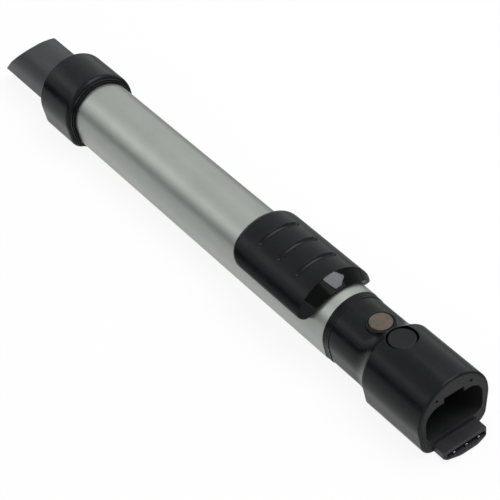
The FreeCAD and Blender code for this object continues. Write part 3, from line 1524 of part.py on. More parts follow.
def make_socket_liner():
    body = new_body("socket_liner")
    wall = s.liner_wall
    low, high = s.opening_base, OPENING_TOP
    bends = (s.opening_low_bend, s.opening_high_bend)
    sketch = cross_section(body, -s.opening_depth)
    draw_slab(
        sketch, OPENING_HALF + wall, low - wall, high + wall, *(bend + wall for bend in bends)
    )
    pad(body, sketch, s.opening_depth)
    sketch = cross_section(body, -s.opening_depth)
    draw_rectangle(sketch, -s.key_half - wall, s.key_half + wall, high, KEY_ROOF + wall)
    pad(body, sketch, s.opening_depth)
    sketch = cross_section(body, -s.liner_flange)
    inset = s.socket_wall + s.fit_gap
    draw_section(
        sketch, s.socket_half - inset, s.axis_height - inset, s.socket_corner - inset
    )
    pad(body, sketch, s.liner_flange)
    # lugs for the catch's pin
    for side in (-1, 1):
        sketch = side_view(body, (s.catch_half + s.lug_thick / 2 + s.slot_gap) * side)
        reach = s.catch_pin_radius + s.liner_wall
        draw_rectangle(
            sketch, s.catch_pivot - reach, s.catch_pivot + reach, KEY_ROOF, CATCH_Z + reach
        )
        pad(body, sketch, s.lug_thick, middle=True)
    # the opening, its keyway and the slot for the catch's tooth
    sketch = cross_section(body, 0.0)
    draw_slab(sketch, OPENING_HALF, low, high, *bends)
    cut(body, sketch, s.opening_depth + s.overrun)
    sketch = cross_section(body, 0.0)
    draw_rectangle(sketch, -s.key_half, s.key_half, high - s.overrun, KEY_ROOF)
    cut(body, sketch, s.opening_depth + s.overrun)
    sketch = top_view(body, KEY_ROOF - wall / 2)
    half = s.catch_half + s.slot_gap
    tooth = s.catch_pivot + s.catch_tooth
    draw_rectangle(sketch, tooth - wall, tooth + s.tooth_length + wall, -half, half)
    cut(body, sketch, wall * 4, back=True)
    sketch = side_view(body)
    draw_circle(sketch, s.catch_pivot, CATCH_Z, s.catch_pin_radius)
    cut(body, sketch, s.socket_half, middle=True)
    # the passage of the plug and the two screw holes of the rim
    sketch = cross_section(body, 0.0)
    side = SHANK_HALF + s.fit_gap
    draw_rectangle(sketch, -side, side, 0.0, SHANK_HIGH + s.fit_gap)
    cut(body, sketch, s.liner_flange)
    sketch = cross_section(body, 0.0)
    for side in (-1, 1):
        radius = s.rim_screw_radius + s.press_gap
        draw_circle(sketch, RIM_SCREW_SIDE * side, RIM_SCREW_HEIGHT, radius)
    cut(body, sketch, s.liner_flange)


def make_liner_screws():
    solids = []
    radius = float(s.rim_screw_radius)
    width = radius * RIM_SLOT
    reach = radius + float(s.fit_gap)
    for side in (-1, 1):
        y, z = RIM_SCREW_SIDE * side, RIM_SCREW_HEIGHT
        shank = rod(radius, s.rim_screw_length, (-s.rim_screw_sink, y, z), -ALONG)
        back = -float(s.rim_screw_sink) - width
        corner = Vector(back, float(y) - reach, float(z) - width / 2)
        slot = Part.makeBox(width, reach * 2, width, corner)
        solids.append(shank.cut(slot))
    shape_part("liner_screws", Part.makeCompound(solids))


# Plug: the flat tongue below the mouth, with three contact pins in the slot of its end


def make_plug_tongue():
    body = new_body("plug_tongue")
    half = PLUG_HALF
    lip = s.plug_reach
    start = s.fit_gap
    bend = s.plug_corner
    sketch = top_view(body, s.plug_low)
    draw_rounded(
        sketch,
        [
            (start, -half, 0),
            (lip - s.plug_bow, -half, bend),
            (lip, half * -BOW_START, bend * BOW_BEND),
            (lip, half * BOW_START, bend * BOW_BEND),
            (lip - s.plug_bow, half, bend),
            (start, half, 0),
        ],
    )
    pad(body, sketch, s.plug_lip)
    round_edges(
        body,
        s.plug_round,
        lambda edge: on_height(edge, s.plug_low) and edge.BoundBox.XMax > float(start) * 2,
    )
    sketch = top_view(body, s.plug_low + s.plug_lip / 2)
    draw_rounded(
        sketch,
        [(start, -half, 0), (PLUG_FRONT, -half, bend / 2), (PLUG_FRONT, half, bend / 2),
         (start, half, 0)],
    )
    pad(body, sketch, s.plug_thick - s.plug_lip / 2)
    round_edges(
        body,
        s.plug_round / 2,
        lambda edge: on_height(edge, PLUG_TOP) and edge.BoundBox.XMax > float(start) * 2,
    )
    # the shank inside the socket, the slot and the holes of the pins
    sketch = cross_section(body, -s.plug_shank)
    draw_rectangle(sketch, -SHANK_HALF, SHANK_HALF, SHANK_LOW, SHANK_HIGH)
    pad(body, sketch, s.plug_shank + start * 2)
    sketch = cross_section(body, s.plug_reach)
    side = half - s.plug_side
    draw_rectangle(sketch, -side, side, s.plug_low + s.plug_lip, PLUG_TOP - s.plug_roof)
    cut(body, sketch, s.plug_shelf + s.plug_slot)
    sketch = cross_section(body, s.plug_reach)
    for number in (-1, 0, 1):
        draw_circle(sketch, s.contact_pitch * number, CONTACT_HEIGHT, s.contact_radius)
    cut(body, sketch, s.plug_reach + s.plug_shank)


def make_contact_pins():
    back = -s.plug_shank - s.contact_radius * 2
    solids = [
        rod(
            s.contact_radius - s.press_gap,
            PLUG_FRONT + s.contact_radius / 2 - back,
            (back, s.contact_pitch * number, CONTACT_HEIGHT),
            ALONG,
        )
        for number in (-1, 0, 1)
    ]
    shape_part("contact_pins", Part.makeCompound(solids))


# Release button and the catch that holds the hose handle


def make_release_button():
    body = new_body("release_button")
    radius = s.release_radius
    under = CATCH_Z + s.catch_pin_radius + s.release_lift
    wall = s.release_skirt
    full_turn(
        body,
        "Revolution",
        [
            (0.0, under + wall),
            (radius - wall, under + wall),
            (radius - wall, under),
            (radius, under),
            (radius, RELEASE_TOP),
            (0.0, RELEASE_TOP),
        ],
        s.release_station,
    )
    round_edges(body, s.release_round, lambda edge: on_height(edge, RELEASE_TOP))
    # the stem grips the nose of the catch
    sketch = top_view(body, STEM_LOW)
    stem = s.release_stem
    far, near = s.release_station - s.stem_length, s.release_station + s.stem_length
    draw_rectangle(sketch, far, near, -stem, stem)
    pad(body, sketch, under + wall + s.fit_gap - STEM_LOW)
    sketch = cross_section(body, s.release_station)
    half = s.catch_half + s.sliding_gap
    draw_rectangle(sketch, -half, half, CATCH_Z - s.nose_slot, CATCH_Z + s.nose_slot)
    cut(body, sketch, radius * 2, middle=True)


def make_release_spring():
    low = RELEASE_FLOOR - s.release_seat + s.press_gap
    length = STEM_LOW - s.press_gap - low
    base = (s.release_station, 0.0, low)
    spring = coil_spring(s.release_coil, s.coil_wire, length, RELEASE_TURNS, base, UP)
    shape_part("release_spring", spring)


def make_handle_catch():
    """A rocker: the button presses its nose down and lifts the tooth out of the keyway."""
    body = new_body("handle_catch")
    tooth = s.catch_pivot + s.catch_tooth
    back = tooth + s.tooth_length
    nose = s.release_station - s.nose_reach
    shoulder = s.release_station + s.shoulder_reach
    arm = s.catch_pivot - s.arm_reach
    arm_low, arm_high = CATCH_Z - s.arm_low, CATCH_Z + s.arm_high
    tooth_low = KEY_ROOF - s.tooth_drop
    sketch = side_view(body)
    draw_polygon(
        sketch,
        [
            (nose, CATCH_Z - s.nose_half),
            (shoulder, CATCH_Z - s.shoulder_half),
            (arm, arm_low),
            (tooth, arm_low),
            (tooth, tooth_low),
            (tooth + s.tooth_tip, tooth_low - s.tooth_hook),
            (back, KEY_ROOF + s.tooth_heel),
            (back, arm_high),
            (arm, arm_high),
            (shoulder, CATCH_Z + s.shoulder_half),
            (nose, CATCH_Z + s.nose_half),
        ],
    )
    pad(body, sketch, s.catch_half * 2, middle=True)
    sketch = side_view(body)
    draw_circle(sketch, s.catch_pivot, CATCH_Z, s.catch_boss)
    pad(body, sketch, s.catch_half * 2, middle=True)
    sketch = side_view(body)
    draw_circle(sketch, s.catch_pivot, CATCH_Z, s.catch_pin_radius + s.press_gap)
    cut(body, sketch, s.catch_half * 4, middle=True)


def make_catch_pin():
    length = s.catch_half * 2 + s.lug_thick * 2 + s.slot_gap * 2
    start = (s.catch_pivot, length / -2, CATCH_Z)
    shape_part("catch_pin", rod(s.catch_pin_radius, length, start, ACROSS))


# Brush switch: a metal cap on a push switch in the neck


def make_switch_cap():
    body = new_body("switch_cap")
    radius = s.switch_radius
    low = SWITCH_UNDER - s.plunger_reach
    wall = radius - s.switch_wall
    ceiling = SWITCH_UNDER + s.switch_travel
    full_turn(
        body,
        "Revolution",
        [
            (0.0, low),
            (s.switch_plunger, low),
            (s.switch_plunger, ceiling),
            (wall, ceiling),
            (wall, SWITCH_UNDER),
            (radius, SWITCH_UNDER),
            (radius, SWITCH_TOP - s.switch_rim),
            (radius - s.switch_rim, SWITCH_TOP),
            (0.0, SWITCH_TOP),
        ],
        s.switch_station,
    )


def make_switch_body():
    body = new_body("switch_body")
    sketch = top_view(body, SWITCH_FLOOR)
    far, near = s.switch_station - s.switch_half, s.switch_station + s.switch_half
    draw_rectangle(sketch, far, near, -s.switch_side, s.switch_side)
    pad(body, sketch, s.switch_body_height)
    sketch = top_view(body, SWITCH_FLOOR + s.switch_body_height)
    draw_circle(sketch, s.switch_station, 0.0, s.switch_plunger + s.slot_gap)
    cut(body, sketch, s.switch_body_height - s.switch_travel)


def make_switch_spring():
    low = SWITCH_FLOOR + s.switch_body_height + s.press_gap
    length = SWITCH_UNDER + s.switch_travel - s.press_gap - low
    base = (s.switch_station, 0.0, low)
    spring = coil_spring(s.switch_coil, s.coil_wire, length, SWITCH_TURNS, base, UP)
    shape_part("switch_spring", spring)


# Connector in the floor-tool end


def make_floor_connector():
    body = new_body("floor_connector")
    sketch = cross_section(body, FLOOR_FAR)
    bends = (s.floor_low_bend, s.floor_high_bend)
    draw_slab(sketch, s.floor_half, FLOOR_LOW, FLOOR_LOW + s.floor_height, *bends)
    pad(body, sketch, s.floor_length)
    sketch = cross_section(body, FLOOR_FAR)
    middle = FLOOR_LOW + s.floor_height / 2
    for number in (-1, 0, 1):
        draw_circle(sketch, s.floor_pitch * number, middle, s.floor_contact)
    cut(body, sketch, s.floor_length / 2, back=True)


def make_floor_contacts():
    solids = []
    middle = FLOOR_LOW + s.floor_height / 2
    back = s.floor_length / 2 - s.press_gap
    length = back - s.floor_contact
    for number in (-1, 0, 1):
        start = (FLOOR_FAR + s.floor_contact, s.floor_pitch * number, middle)
        tube = rod(s.floor_contact - s.press_gap, length, start, ALONG)
        bore = rod(s.floor_contact * CONTACT_BORE, length - s.floor_contact / 2, start, ALONG)
        solids.append(tube.cut(bore))
    shape_part("floor_contacts", Part.makeCompound(solids))


make_outer_tube()
make_end_collar()
make_screws("collar_screws", COLLAR_SCREWS, s.screw_sink, INNER_FLOOR - s.screw_room)
make_guide_bush()
make_wiper_seal()
make_latch_housing()
make_lock_bolt()
make_lock_spring()
make_inner_tube()
make_rear_ring("rear_glide", GLIDE_NEAR, s.glide_length, s.sliding_gap)
make_rear_ring("rear_seal", SEAL_NEAR, s.rear_seal_length, s.rear_seal_gap)
make_release_strip()
make_slider_shoe()
make_strip_rivets()
make_slider_grip()
make_grip_front()
make_grip_arrow()
make_spring_anchor()
make_anchor_rivets()
make_grip_springs()
make_socket_housing()
make_screws("neck_screws", NECK_SCREWS, NECK_HEAD_LOW, NECK_HEAD_LOW + s.neck_screw_reach)
make_neck_seal()
make_socket_liner()
make_liner_screws()
make_plug_tongue()
make_contact_pins()
make_release_button()
make_release_spring()
make_handle_catch()
make_catch_pin()
make_switch_cap()
make_switch_body()
make_switch_spring()
make_floor_connector()
make_floor_contacts()

# Check every object, then write the pieces

document.recompute()
for thing in document.Objects:
    if "Invalid" in thing.State or "Error" in thing.State:
        raise RuntimeError(f"{thing.Label} failed: {thing.State}")

os.makedirs("parts", exist_ok=True)
for part in parts:
    if part.Shape.isNull() or not part.Shape.isValid():
        raise RuntimeError(f"{part.Label} has no valid shape")
    part.Shape.exportStep(f"parts/{part.Label}.step")
    box = part.Shape.BoundBox
    print(
        f"{part.Label:16} {part.Shape.Volume:10.1f} mm3  solids {len(part.Shape.Solids)}  "
        f"x {box.XMin:8.2f} {box.XMax:8.2f}  y {box.YMin:7.2f} {box.YMax:7.2f}  "
        f"z {box.ZMin:6.2f} {box.ZMax:6.2f}"
    )
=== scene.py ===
import math

import bpy
from bpy.props import FloatProperty, FloatVectorProperty, PointerProperty
from bpy.types import Operator, Panel, PropertyGroup
from mathutils import Matrix, Vector

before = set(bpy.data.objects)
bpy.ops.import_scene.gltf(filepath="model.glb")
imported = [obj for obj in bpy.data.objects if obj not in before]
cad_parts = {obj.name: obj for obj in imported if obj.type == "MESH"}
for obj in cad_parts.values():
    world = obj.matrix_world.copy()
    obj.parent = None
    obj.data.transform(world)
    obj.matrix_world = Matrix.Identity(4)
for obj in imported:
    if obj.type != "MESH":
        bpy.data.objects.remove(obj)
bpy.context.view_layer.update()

bl_info = {
    "name": "Telescopic Wand",
    "version": (1, 0, 0),
    "blender": (4, 5, 0),
    "location": "3D View > Sidebar > Wand",
    "description": "Finishes of a telescopic vacuum wand and a studio to look at it in",
    "category": "Object",
}

# The photograph's frame in pixels, the camera's sensor in millimetres and its reach in metres
FRAME_SIZE = 500
SENSOR_WIDTH = 36.0
CAMERA_REACH = 50.0

# The floor: half its side, how far it lies below the wand, its grey in the light, and how
# white the camera and the mirrors see it, while the rest of it takes light and shadow
FLOOR_REACH = 12.0
FLOOR_DROP = 0.0003
FLOOR_TONE = 0.9
FLOOR_WHITE = 0.9

# The large soft light above
KEY_PLACE = (0.2, 0.5, 1.6)
KEY_SIZE = (1.6, 1.2)

# The strip light and the dark flag, both out of the picture beside the floor-tool end
STRIP_PLACE = (-1.25, -1.10, 1.10)
STRIP_SIZE = (2.6, 0.35)
FLAG_PLACE = (-1.50, -1.80, 0.30)
FLAG_SIZE = (4.0, 0.55)
FLAG_TONE = 0.01

# The grey card on the floor behind the wand, which is seen only in reflections: painted shade,
# standing in for the shadow on the floor there as metal and plastic mirror it
SHADE_CARD_PLACE = (-0.15, 0.28, 0.0005)
SHADE_CARD_SIZE = (1.6, 0.42)
SHADE_CARD_TONE = 0.3

# What the lights look at: the key light at the floor, the others at the wand
FLOOR_MIDDLE = (0.0, 0.0, 0.0)
WAND_MIDDLE = (0.0, 0.0, 0.03)

# Two directions with a smaller cross product than this count as parallel
PARALLEL = 1e-6

# A mix node's sockets for colours, whose names its other sockets share
MIX_FIRST = 6
MIX_SECOND = 7
MIX_RESULT = 2

WHITE = (1.0, 1.0, 1.0, 1.0)
UNSTRETCHED = (1.0, 1.0, 1.0)

# Refractive indices of the mouldings and of everything else
MOULDED_INDEX = 1.48
PLAIN_INDEX = 1.5

# The range of a noise pattern that nearly all of it lies in
NOISE_LOW = 0.3
NOISE_HIGH = 0.7

# Roughness of the finishes that have no setting of their own
PLUG_ROUGHNESS = 0.34
LINER_ROUGHNESS = 0.5
FRONT_ROUGHNESS = 0.16
ARROW_ROUGHNESS = 0.2
BUTTON_ROUGHNESS = 0.36
DISC_ROUGHNESS = 0.38
CONTACT_ROUGHNESS = 0.28
STEEL_ROUGHNESS = 0.34
BLACKENED_ROUGHNESS = 0.45

# Depth of the mouldings' grain in metres, spark-eroded and polished
ERODED_DEPTH = 0.00005
POLISHED_DEPTH = 0.00001

# The share of the mouldings' gloss that the polished front has
FRONT_GLOSS = 0.4

# Scratches to a metre of each metal, before the noise adds finer ones, and how many times
# coarser a metal's clouding is
DISC_SCRATCHES = 900.0
CONTACT_SCRATCHES = 1500.0
STEEL_SCRATCHES = 1200.0
METAL_CLOUDING = 5.0

# Radius in metres by which the edges of the small metal parts are softened
METAL_EDGE = 0.0003

# The two greys of the seals
RUBBER_DARK = (0.012, 0.012, 0.012, 1.0)
RUBBER_PALE = (0.022, 0.022, 0.022, 1.0)

# CAD nodes by finish
TUBE_NODES = ("outer_tube",)
INNER_NODES = ("inner_tube",)
MOULDED_NODES = ("end_collar", "socket_housing", "slider_grip")
PLUG_NODES = ("plug_tongue",)
LINER_NODES = ("socket_liner", "handle_catch")
HIDDEN_PLASTIC_NODES = (
    "guide_bush",
    "rear_glide",
    "latch_housing",
    "slider_shoe",
    "floor_connector",
    "switch_body",
)
FRONT_NODES = ("grip_front",)
ARROW_NODES = ("grip_arrow",)
BUTTON_NODES = ("release_button",)
DISC_NODES = ("switch_cap",)
SEAL_NODES = ("wiper_seal", "neck_seal", "rear_seal")
CONTACT_NODES = ("contact_pins", "floor_contacts")
BLACKENED_NODES = ("liner_screws",)
STEEL_NODES = (
    "collar_screws",
    "neck_screws",
    "catch_pin",
    "lock_bolt",
    "release_strip",
    "strip_rivets",
    "spring_anchor",
    "anchor_rivets",
    "lock_spring",
    "release_spring",
    "switch_spring",
    "grip_springs",
)


class WandFinishSettings(PropertyGroup):
    """Colours and finishes of the wand's pieces."""

    aluminium: FloatVectorProperty(
        name="Aluminium",
        description="Colour of the satin anodised outer tube",
        subtype="COLOR",
        size=3,
        min=0.0,
        max=1.0,
        default=(0.295, 0.315, 0.292),
    )
    aluminium_roughness: FloatProperty(
        name="Aluminium roughness",
        description="Roughness of the satin anodised outer tube",
        subtype="FACTOR",
        min=0.0,
        max=1.0,
        default=0.36,
    )
    inner_tube: FloatVectorProperty(
        name="Inner tube",
        description="Colour of the dark inner tube",
        subtype="COLOR",
        size=3,
        min=0.0,
        max=1.0,
        default=(0.0185, 0.0210, 0.0240),
    )
    black_plastic: FloatVectorProperty(
        name="Black plastic",
        description="Colour of the collar, the grip and the handle socket",
        subtype="COLOR",
        size=3,
        min=0.0,
        max=1.0,
        default=(0.0017, 0.0035, 0.0038),
    )
    plastic_roughness: FloatProperty(
        name="Plastic roughness",
        description="Roughness of the black mouldings",
        subtype="FACTOR",
        min=0.0,
        max=1.0,
        default=0.25,
    )
    gloss: FloatProperty(
        name="Plastic gloss",
        description="Strength of the reflections on the black mouldings",
        subtype="FACTOR",
        min=0.0,
        max=1.0,
        default=0.165,
    )
    plug: FloatVectorProperty(
        name="Plug",
        description="Colour of the plug tongue below the mouth",
        subtype="COLOR",
        size=3,
        min=0.0,
        max=1.0,
        default=(0.034, 0.034, 0.037),
    )
    liner: FloatVectorProperty(
        name="Liner",
        description="Colour of the liner in the mouth of the handle socket",
        subtype="COLOR",
        size=3,
        min=0.0,
        max=1.0,
        default=(0.0200, 0.0204, 0.0218),
    )
    front: FloatVectorProperty(
        name="Front",
        description="Colour of the polished front of the slider grip",
        subtype="COLOR",
        size=3,
        min=0.0,
        max=1.0,
        default=(0.0012, 0.0012, 0.0012),
    )
    arrow: FloatVectorProperty(
        name="Arrow",
        description="Colour of the arrow on the front of the slider grip",
        subtype="COLOR",
        size=3,
        min=0.0,
        max=1.0,
        default=(0.12, 0.126, 0.135),
    )
    disc: FloatVectorProperty(
        name="Disc",
        description="Colour of the metal cap of the brush switch",
        subtype="COLOR",
        size=3,
        min=0.0,
        max=1.0,
        default=(0.085, 0.070, 0.057),
    )
    contact: FloatVectorProperty(
        name="Contacts",
        description="Colour of the contact pins",
        subtype="COLOR",
        size=3,
        min=0.0,
        max=1.0,
        default=(0.62, 0.60, 0.54),
    )
    steel: FloatVectorProperty(
        name="Steel",
        description="Colour of the plain screws, springs and pins",
        subtype="COLOR",
        size=3,
        min=0.0,
        max=1.0,
        default=(0.50, 0.50, 0.51),
    )
    blackened: FloatVectorProperty(
        name="Blackened steel",
        description="Colour of the two screws in the rim of the handle socket",
        subtype="COLOR",
        size=3,
        min=0.0,
        max=1.0,
        default=(0.02, 0.02, 0.02),
    )
    grain: FloatProperty(
        name="Plastic grain",
        description="Size of the fine grain in the mouldings' surface",
        subtype="DISTANCE",
        unit="LENGTH",
        min=0.0001,
        max=0.01,
        default=0.0006,
    )
    edge_width: FloatProperty(
        name="Edge softening",
        description="Radius by which the edges of the mouldings are softened",
        subtype="DISTANCE",
        unit="LENGTH",
        min=0.0,
        max=0.003,
        default=0.0006,
    )


class WandStageSettings(PropertyGroup):
    """Camera, floor and lights."""

    azimuth: FloatProperty(
        name="Azimuth",
        description="Direction that the camera stands in, from -Y towards +X",
        subtype="ANGLE",
        unit="ROTATION",
        default=math.radians(58.38),
    )
    elevation: FloatProperty(
        name="Elevation",
        description="Height of the camera above the floor, as an angle",
        subtype="ANGLE",
        unit="ROTATION",
        default=math.radians(41.89),
    )
    roll: FloatProperty(
        name="Roll",
        description="Turn of the camera about its own line of sight",
        subtype="ANGLE",
        unit="ROTATION",
        default=math.radians(-6.75),
    )
    distance: FloatProperty(
        name="Distance",
        description="Distance from the camera to the point that it looks at",
        subtype="DISTANCE",
        unit="LENGTH",
        default=1.4404,
    )
    target: FloatVectorProperty(
        name="Target",
        description="Point that the camera looks at",
        subtype="XYZ",
        unit="LENGTH",
        size=3,
        default=(0.04335, 0.0, 0.0141),
    )
    focal_pixels: FloatProperty(
        name="Focal length in pixels",
        description="Focal length of the camera in pixels of the photograph",
        default=1850.0,
        min=100.0,
    )
    key_energy: FloatProperty(
        name="Key light",
        description="Power of the large soft light above",
        subtype="POWER",
        unit="POWER",
        default=22.0,
        min=0.0,
    )
    strip_energy: FloatProperty(
        name="Strip light",
        description="Power of the long soft light beside the floor-tool end",
        subtype="POWER",
        unit="POWER",
        default=4.0,
        min=0.0,
    )
    world_strength: FloatProperty(
        name="World strength",
        description="Strength of the even light from all around",
        default=0.45,
        min=0.0,
    )


# Node helpers


def new_material(name):
    """A material with no nodes yet."""
    material = bpy.data.materials.new(name)
    material.use_nodes = True
    material.node_tree.nodes.clear()
    return material


def add_node(tree, kind, **settings):
    node = tree.nodes.new(kind)
    for name, value in settings.items():
        setattr(node, name, value)
    return node


def join(tree, source, target):
    tree.links.new(source, target)


def set_inputs(node, **values):
    """Set sockets by name, with spaces written as underscores."""
    for name, value in values.items():
        node.inputs[name.replace("_", " ")].default_value = value


def show(tree, surface, kind="ShaderNodeOutputMaterial"):
    """Join a surface to a new output node."""
    output = add_node(tree, kind)
    join(tree, surface, output.inputs["Surface"])


def principled_shader(tree, **values):
    """A principled shader that the material shows."""
    shader = add_node(tree, "ShaderNodeBsdfPrincipled")
    set_inputs(shader, **values)
    show(tree, shader.outputs["BSDF"])
    return shader


def noise(tree, scale, stretch=UNSTRETCHED, detail=3.0, roughness=0.5):
    """A noise pattern in the object's own metres, stretched along its axes."""
    coordinates = add_node(tree, "ShaderNodeTexCoord")
    mapping = add_node(tree, "ShaderNodeMapping")
    set_inputs(mapping, Scale=stretch)
    join(tree, coordinates.outputs["Object"], mapping.inputs["Vector"])
    texture = add_node(tree, "ShaderNodeTexNoise")
    set_inputs(texture, Scale=scale, Detail=detail, Roughness=roughness)
    join(tree, mapping.outputs["Vector"], texture.inputs["Vector"])
    return texture.outputs["Fac"]


def spread(tree, value, low, high, start=NOISE_LOW, end=NOISE_HIGH):
    """A value taken from the range start to end onto the range low to high."""
    node = add_node(tree, "ShaderNodeMapRange")
    set_inputs(node, From_Min=start, From_Max=end, To_Min=low, To_Max=high)
    join(tree, value, node.inputs["Value"])
    return node.outputs["Result"]


def shaded(base, factor):
    """A colour made darker or paler by a factor."""
    return (*(min(1.0, part * factor) for part in base), 1.0)


def blend_colours(tree, factor, first, second):
    """A mix by a factor of two colours, each a fixed colour or the output of a node."""
    node = add_node(tree, "ShaderNodeMix", data_type="RGBA")
    join(tree, factor, node.inputs["Factor"])
    for place, value in ((MIX_FIRST, first), (MIX_SECOND, second)):
        if isinstance(value, tuple):
            node.inputs[place].default_value = value
        else:
            join(tree, value, node.inputs[place])
    return node.outputs[MIX_RESULT]


def mottle(tree, pattern, dark, pale):
    """A colour that clouds between a dark and a pale one."""
    return blend_colours(tree, spread(tree, pattern, 0.0, 1.0), dark, pale)


def mark(tree, pattern, under, pale, share, start=NOISE_LOW, end=NOISE_HIGH):
    """Pale marks over a colour, of at most a share where the pattern reaches its end."""
    return blend_colours(tree, spread(tree, pattern, 0.0, share, start, end), under, pale)


def vary_roughness(tree, shader, pattern, low, high):
    join(tree, spread(tree, pattern, low, high), shader.inputs["Roughness"])


def emboss(tree, shader, height, distance, strength, softened=None):
    """Bumps from a pattern, over softened edges where they are given."""
    node = add_node(tree, "ShaderNodeBump")
    set_inputs(node, Distance=distance, Strength=strength)
    join(tree, height, node.inputs["Height"])
    if softened is not None:
        join(tree, softened, node.inputs["Normal"])
    join(tree, node.outputs["Normal"], shader.inputs["Normal"])


def soft_edges(tree, radius):
    """Normals that are rounded over the sharp edges."""
    node = add_node(tree, "ShaderNodeBevel", samples=6)
    set_inputs(node, Radius=radius)
    return node.outputs["Normal"]


def dress(material, nodes):
    """Give the CAD nodes a material."""
    for name in nodes:
        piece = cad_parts[name]
        piece.data.materials.clear()
        piece.data.materials.append(material)


# Materials


def satin_aluminium(settings):
    """Fine anodised aluminium, with the faint lengthwise lines of an extrusion."""
    material = new_material("satin_aluminium")
    tree = material.node_tree
    shader = principled_shader(tree, Metallic=0.82, IOR=PLAIN_INDEX)
    base = settings.aluminium
    lines = noise(tree, scale=1.0, stretch=(4.0, 900.0, 900.0))
    cloud = noise(tree, scale=26.0, detail=4.0, roughness=0.6)
    grain = noise(tree, scale=2600.0, detail=2.0)
    tone = mottle(tree, cloud, shaded(base, 0.95), shaded(base, 1.05))
    streaked = mark(tree, lines, tone, shaded(base, 1.35), share=0.12)
    join(tree, streaked, shader.inputs["Base Color"])
    level = settings.aluminium_roughness
    vary_roughness(tree, shader, grain, level - 0.05, level + 0.06)
    emboss(tree, shader, grain, distance=0.00004, strength=0.35)
    return material


def charcoal_tube(settings):
    """Dark inner tube with long slide marks."""
    material = new_material("charcoal_tube")
    tree = material.node_tree
    shader = principled_shader(tree, Metallic=0.25, IOR=PLAIN_INDEX)
    base = settings.inner_tube
    marks = noise(tree, scale=1.0, stretch=(3.0, 700.0, 700.0), detail=4.0, roughness=0.65)
    cloud = noise(tree, scale=45.0, detail=4.0, roughness=0.6)
    tone = mottle(tree, cloud, shaded(base, 0.85), shaded(base, 1.15))
    worn = mark(tree, marks, tone, shaded(base, 2.0), share=0.3, start=0.6, end=0.85)
    join(tree, worn, shader.inputs["Base Color"])
    vary_roughness(tree, shader, marks, 0.42, 0.56)
    emboss(tree, shader, marks, distance=0.00003, strength=0.3)
    return material


def moulded_plastic(name, base, roughness, settings, depth=ERODED_DEPTH, gloss_share=1.0):
    """A moulding with a fine grain, softened edges and light rub marks."""
    material = new_material(name)
    tree = material.node_tree
    gloss = settings.gloss * gloss_share
    shader = principled_shader(
        tree, Metallic=0.0, IOR=MOULDED_INDEX, Specular_IOR_Level=gloss
    )
    cloud = noise(tree, scale=60.0, detail=4.0, roughness=0.6)
    rub = noise(tree, scale=420.0, stretch=(1.0, 0.35, 1.0), detail=5.0, roughness=0.7)
    grain = noise(tree, scale=1.0 / settings.grain, detail=2.0)
    tone = mottle(tree, cloud, shaded(base, 0.85), shaded(base, 1.2))
    dusty = mark(tree, rub, tone, shaded(base, 5.0), share=0.08, start=0.62, end=0.8)
    join(tree, dusty, shader.inputs["Base Color"])
    vary_roughness(tree, shader, cloud, roughness - 0.04, roughness + 0.05)
    softened = soft_edges(tree, settings.edge_width)
    emboss(tree, shader, grain, distance=depth, strength=0.5, softened=softened)
    return material


def scratched_metal(name, base, roughness, scratches):
    """Plain metal with fine scratches."""
    material = new_material(name)
    tree = material.node_tree
    shader = principled_shader(tree, Metallic=1.0, IOR=PLAIN_INDEX)
    fine = noise(tree, scale=scratches, stretch=(1.0, 0.12, 1.0), detail=5.0, roughness=0.7)
    cloud = noise(tree, scale=scratches / METAL_CLOUDING, roughness=0.6)
    tone = mottle(tree, cloud, shaded(base, 0.8), shaded(base, 1.15))
    join(tree, tone, shader.inputs["Base Color"])
    vary_roughness(tree, shader, fine, roughness - 0.08, roughness + 0.12)
    softened = soft_edges(tree, METAL_EDGE)
    emboss(tree, shader, fine, distance=0.00004, strength=0.4, softened=softened)
    return material


def seal_rubber():
    """Matt black rubber with a coarse, slightly uneven skin."""
    material = new_material("seal_rubber")
    tree = material.node_tree
    shader = principled_shader(tree, Metallic=0.0, IOR=PLAIN_INDEX)
    cloud = noise(tree, scale=300.0, detail=4.0, roughness=0.6)
    join(tree, mottle(tree, cloud, RUBBER_DARK, RUBBER_PALE), shader.inputs["Base Color"])
    vary_roughness(tree, shader, cloud, 0.65, 0.8)
    emboss(tree, shader, cloud, distance=0.0001, strength=0.3)
    return material


def finish_settings(context):
    return context.scene.wand_finish


# Operators, one for each piece or group of like pieces


class WAND_OT_outer_tube(Operator):
    """Give the outer tube its satin aluminium"""

    bl_idname = "wand.outer_tube"
    bl_label = "Outer Tube"

    def execute(self, context):
        dress(satin_aluminium(finish_settings(context)), TUBE_NODES)
        return {"FINISHED"}


class WAND_OT_inner_tube(Operator):
    """Give the inner tube its charcoal finish"""

    bl_idname = "wand.inner_tube"
    bl_label = "Inner Tube"

    def execute(self, context):
        dress(charcoal_tube(finish_settings(context)), INNER_NODES)
        return {"FINISHED"}


class WAND_OT_mouldings(Operator):
    """Give the collar, the grip, the socket and the plug their black plastic"""

    bl_idname = "wand.mouldings"
    bl_label = "Black Mouldings"

    def execute(self, context):
        settings = finish_settings(context)
        body = moulded_plastic(
            "black_moulding", settings.black_plastic, settings.plastic_roughness, settings
        )
        dress(body, MOULDED_NODES)
        plug = moulded_plastic("plug_moulding", settings.plug, PLUG_ROUGHNESS, settings)
        dress(plug, PLUG_NODES)
        return {"FINISHED"}


class WAND_OT_liner(Operator):
    """Give the liner of the socket and the hidden mouldings their matt plastic"""

    bl_idname = "wand.liner"
    bl_label = "Liner"

    def execute(self, context):
        settings = finish_settings(context)
        liner = moulded_plastic("liner_moulding", settings.liner, LINER_ROUGHNESS, settings)
        dress(liner, LINER_NODES + HIDDEN_PLASTIC_NODES)
        return {"FINISHED"}


